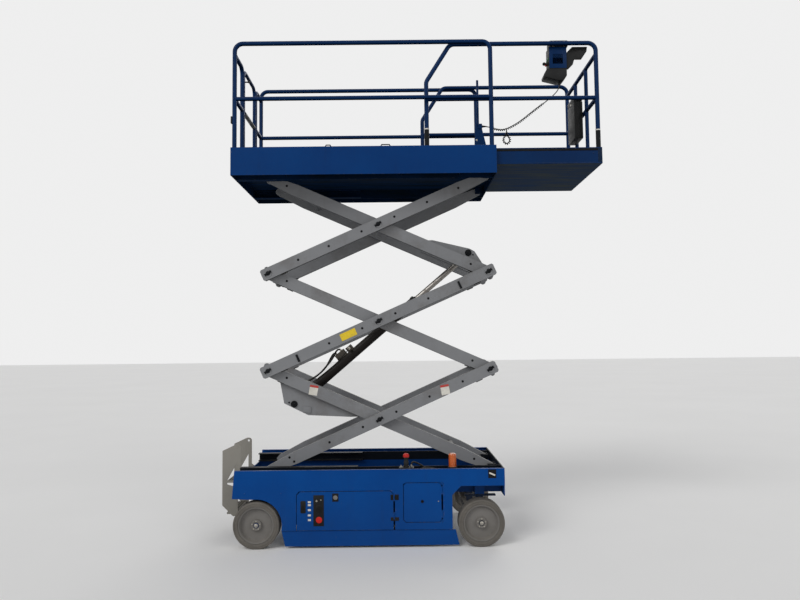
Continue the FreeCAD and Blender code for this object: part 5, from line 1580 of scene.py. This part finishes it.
        for y, sign in ((left + 0.0005, -1), (right - 0.0005, 1)):
            edge = y - sign * 0.0020
            inset.block(spot(0.076, min(y, edge), 0.146), spot(0.166, max(y, edge), 0.236), 0.0008)
        inset.done("control_insets", "extension", HOLE, "black_plastic")
        stick = Shape()
        middle = (left + right) / 2
        stick.turned([(0, 0.0), (0.021, 0.0), (0.020, 0.003), (0.016, 0.006), (0.0165, 0.009), (0.012, 0.012),
                      (0.0085, 0.016), (0.0085, 0.026), (0.0135, 0.030), (0.0148, 0.038), (0.0125, 0.0465),
                      (0.006, 0.0505), (0, 0.051)], spot(0.0455, middle - 0.026, 0.158), (-1, 0, 0), steps=40)
        stick.done("joystick_grip", "extension", HOSE, "black_plastic")
        stop = Shape()
        stop.turned([(0, -0.002), (0.012, -0.002), (0.0125, 0.006), (0.016, 0.008), (0.016, 0.015), (0.011, 0.019),
                     (0, 0.020)], spot(0.0455, middle + 0.024, 0.172), (-1, 0, 0), steps=40)
        stop.done("upper_stop_button", "extension", RED, "black_plastic")
        keys = Shape()
        for number in range(3):
            y = left + 0.026 + number * 0.034
            keys.block(spot(0.0405, y - 0.009, 0.192), spot(0.0455, y + 0.009, 0.208), 0.002)
        keys.done("control_keys", "extension", GREEN, "black_plastic")
        hooks = Shape()
        for along in (0.085, 0.180):
            hooks.block(spot(along - 0.010, left - 0.0004, 0.304), spot(along + 0.010, left + 0.003, 0.350), 0.001)
            for up in (0.314, 0.340):
                hooks.screw(spot(along, left, up), (0, -1, 0), 0.0032)
        hooks.done("control_hooks", "extension", ZINC, "chrome")

    def papers(self) -> None:
        """Add the document box's lid, ribs and latch."""
        low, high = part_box("document_box")
        box = Shape()
        box.block(low, (high[0], high[1], high[2] - 0.052), 0.008)
        box.block((low[0], low[1], high[2] - 0.050), high, 0.010)
        for number in range(5):
            y = low[1] + 0.040 + number * 0.040
            box.block((low[0], y - 0.004, low[2] + 0.030), (low[0] + 0.006, y + 0.004, high[2] - 0.080), 0.002)
        piece = box.done("document_case", "extension", BLACK, "black_plastic")
        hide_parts("document_box")
        latch = Shape()
        latch.block((low[0] - 0.0, -0.018, high[2] - 0.075), (low[0] + 0.005, 0.018, high[2] - 0.030), 0.002)
        latch.done("document_latch", "extension", ZINC, "chrome")

    def socket(self) -> None:
        """Dress the cord's socket on the blue plate."""
        ring = Shape()
        ring.turned([(0.0, 0.0), (0.0135, 0.0), (0.0135, 0.003), (0.011, 0.005), (0.0, 0.005)],
                    at(1.0085, -0.400, self.deck + 0.372), (1, 0, 0), steps=28)
        ring.done("socket_ring", "extension", BLACK, "black_plastic")
        bolts = Shape()
        for x, z in ((0.965, 0.05), (1.055, 0.05), (0.962, 0.25)):
            bolts.bolt(at(x, -0.4035, self.deck + z), (0, -1, 0), 0.007)
        bolts.done("handle_bolts", "extension", ZINC, "chrome")

    def build(self) -> None:
        """Build the controls, apart from the cord."""
        self.box()
        self.papers()
        self.socket()


@dataclass
class Studio:
    """The camera at the photograph's place, the pale floor and the soft lamps."""

    place: Triple = (-0.0969, -6.2522, 1.6641)
    pitch: float = 0.0645
    yaw: float = -0.0016
    roll: float = -0.0108
    lens: float = 30.59
    suns: tuple[tuple[str, Triple, float, float], ...] = (
        ("key", (-0.50, -0.62, 0.60), 30.0, 1.25), ("fill", (0.62, -0.70, 0.35), 40.0, 0.50),
        ("back", (0.25, 0.80, 0.55), 40.0, 0.55))
    sky: float = 0.34
    backdrop: float = 0.86

    def camera(self) -> None:
        """Put the camera at the photograph's viewing angle."""
        data = bpy.data.cameras.new("photo_camera")
        data.sensor_width = 36.0
        data.lens = self.lens
        camera = bpy.data.objects.new("photo_camera", data)
        turn = (Matrix.Rotation(self.yaw, 4, "Z") @ Matrix.Rotation(math.pi / 2 + self.pitch, 4, "X")
                @ Matrix.Rotation(self.roll, 4, "Z"))
        camera.matrix_world = Matrix.Translation(self.place) @ turn
        bpy.context.scene.collection.objects.link(camera)
        bpy.context.scene.camera = camera

    def floor(self) -> None:
        """Lay the pale floor that keeps the machine's shadow."""
        nodes = Nodes("pale_floor")
        cloud = nodes.curve(nodes.noise(0.4, 3.0), 0.3, 0.7)
        nodes.feed(Base_Color=nodes.blend(cloud, linear("F1F0EE"), linear("F4F3F1")))
        nodes.set(Roughness=0.9)
        mesh = bmesh.new()
        bmesh.ops.create_grid(mesh, x_segments=1, y_segments=1, size=60.0)
        data = bpy.data.meshes.new("studio_floor")
        mesh.to_mesh(data)
        mesh.free()
        data.materials.append(nodes.material)
        floor = bpy.data.objects.new("studio_floor", data)
        bpy.context.scene.collection.objects.link(floor)

    def light(self) -> None:
        """Hang the soft lamps and set the pale world."""
        for name, way, spread, power in self.suns:
            data = bpy.data.lights.new(f"{name}_lamp", "SUN")
            data.angle = math.radians(spread)
            data.energy = power
            lamp = bpy.data.objects.new(f"{name}_lamp", data)
            lamp.matrix_world = Vector(way).to_track_quat("Z", "Y").to_matrix().to_4x4()
            bpy.context.scene.collection.objects.link(lamp)
        world = bpy.data.worlds.new("pale_world")
        bpy.context.scene.world = world
        world.use_nodes = True
        tree = world.node_tree
        tree.nodes.clear()
        path = tree.nodes.new("ShaderNodeLightPath")
        seen = tree.nodes.new("ShaderNodeMath")
        seen.operation = "MAXIMUM"
        tree.links.new(path.outputs["Is Camera Ray"], seen.inputs[0])
        tree.links.new(path.outputs["Is Transmission Ray"], seen.inputs[1])
        shown = tree.nodes.new("ShaderNodeMath")
        shown.operation = "MAXIMUM"
        tree.links.new(seen.outputs["Value"], shown.inputs[0])
        tree.links.new(path.outputs["Is Glossy Ray"], shown.inputs[1])
        soft, white = tree.nodes.new("ShaderNodeBackground"), tree.nodes.new("ShaderNodeBackground")
        soft.inputs["Color"].default_value = linear("F2F4F8")
        soft.inputs["Strength"].default_value = self.sky
        white.inputs["Color"].default_value = (1.0, 1.0, 1.0, 1.0)
        white.inputs["Strength"].default_value = self.backdrop
        mix, out = tree.nodes.new("ShaderNodeMixShader"), tree.nodes.new("ShaderNodeOutputWorld")
        tree.links.new(shown.outputs["Value"], mix.inputs["Fac"])
        tree.links.new(soft.outputs["Background"], mix.inputs[1])
        tree.links.new(white.outputs["Background"], mix.inputs[2])
        tree.links.new(mix.outputs["Shader"], out.inputs["Surface"])
        bpy.context.scene.view_settings.view_transform = "Standard"

    def build(self) -> None:
        """Set the floor and the lamps."""
        self.floor()
        self.light()


def main() -> None:
    """Dress the machine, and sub-assembly by sub-assembly."""
    logging.basicConfig(level=logging.INFO, format="%(name)s: %(message)s")
    studio = Studio()
    studio.camera()
    controls = Controls()
    controls.cord()
    Wheels().build()
    Chassis().build()
    Stack().build()
    Cylinder().build()
    Platform().build()
    controls.build()
    studio.build()


if __name__ == "__main__":
    main()
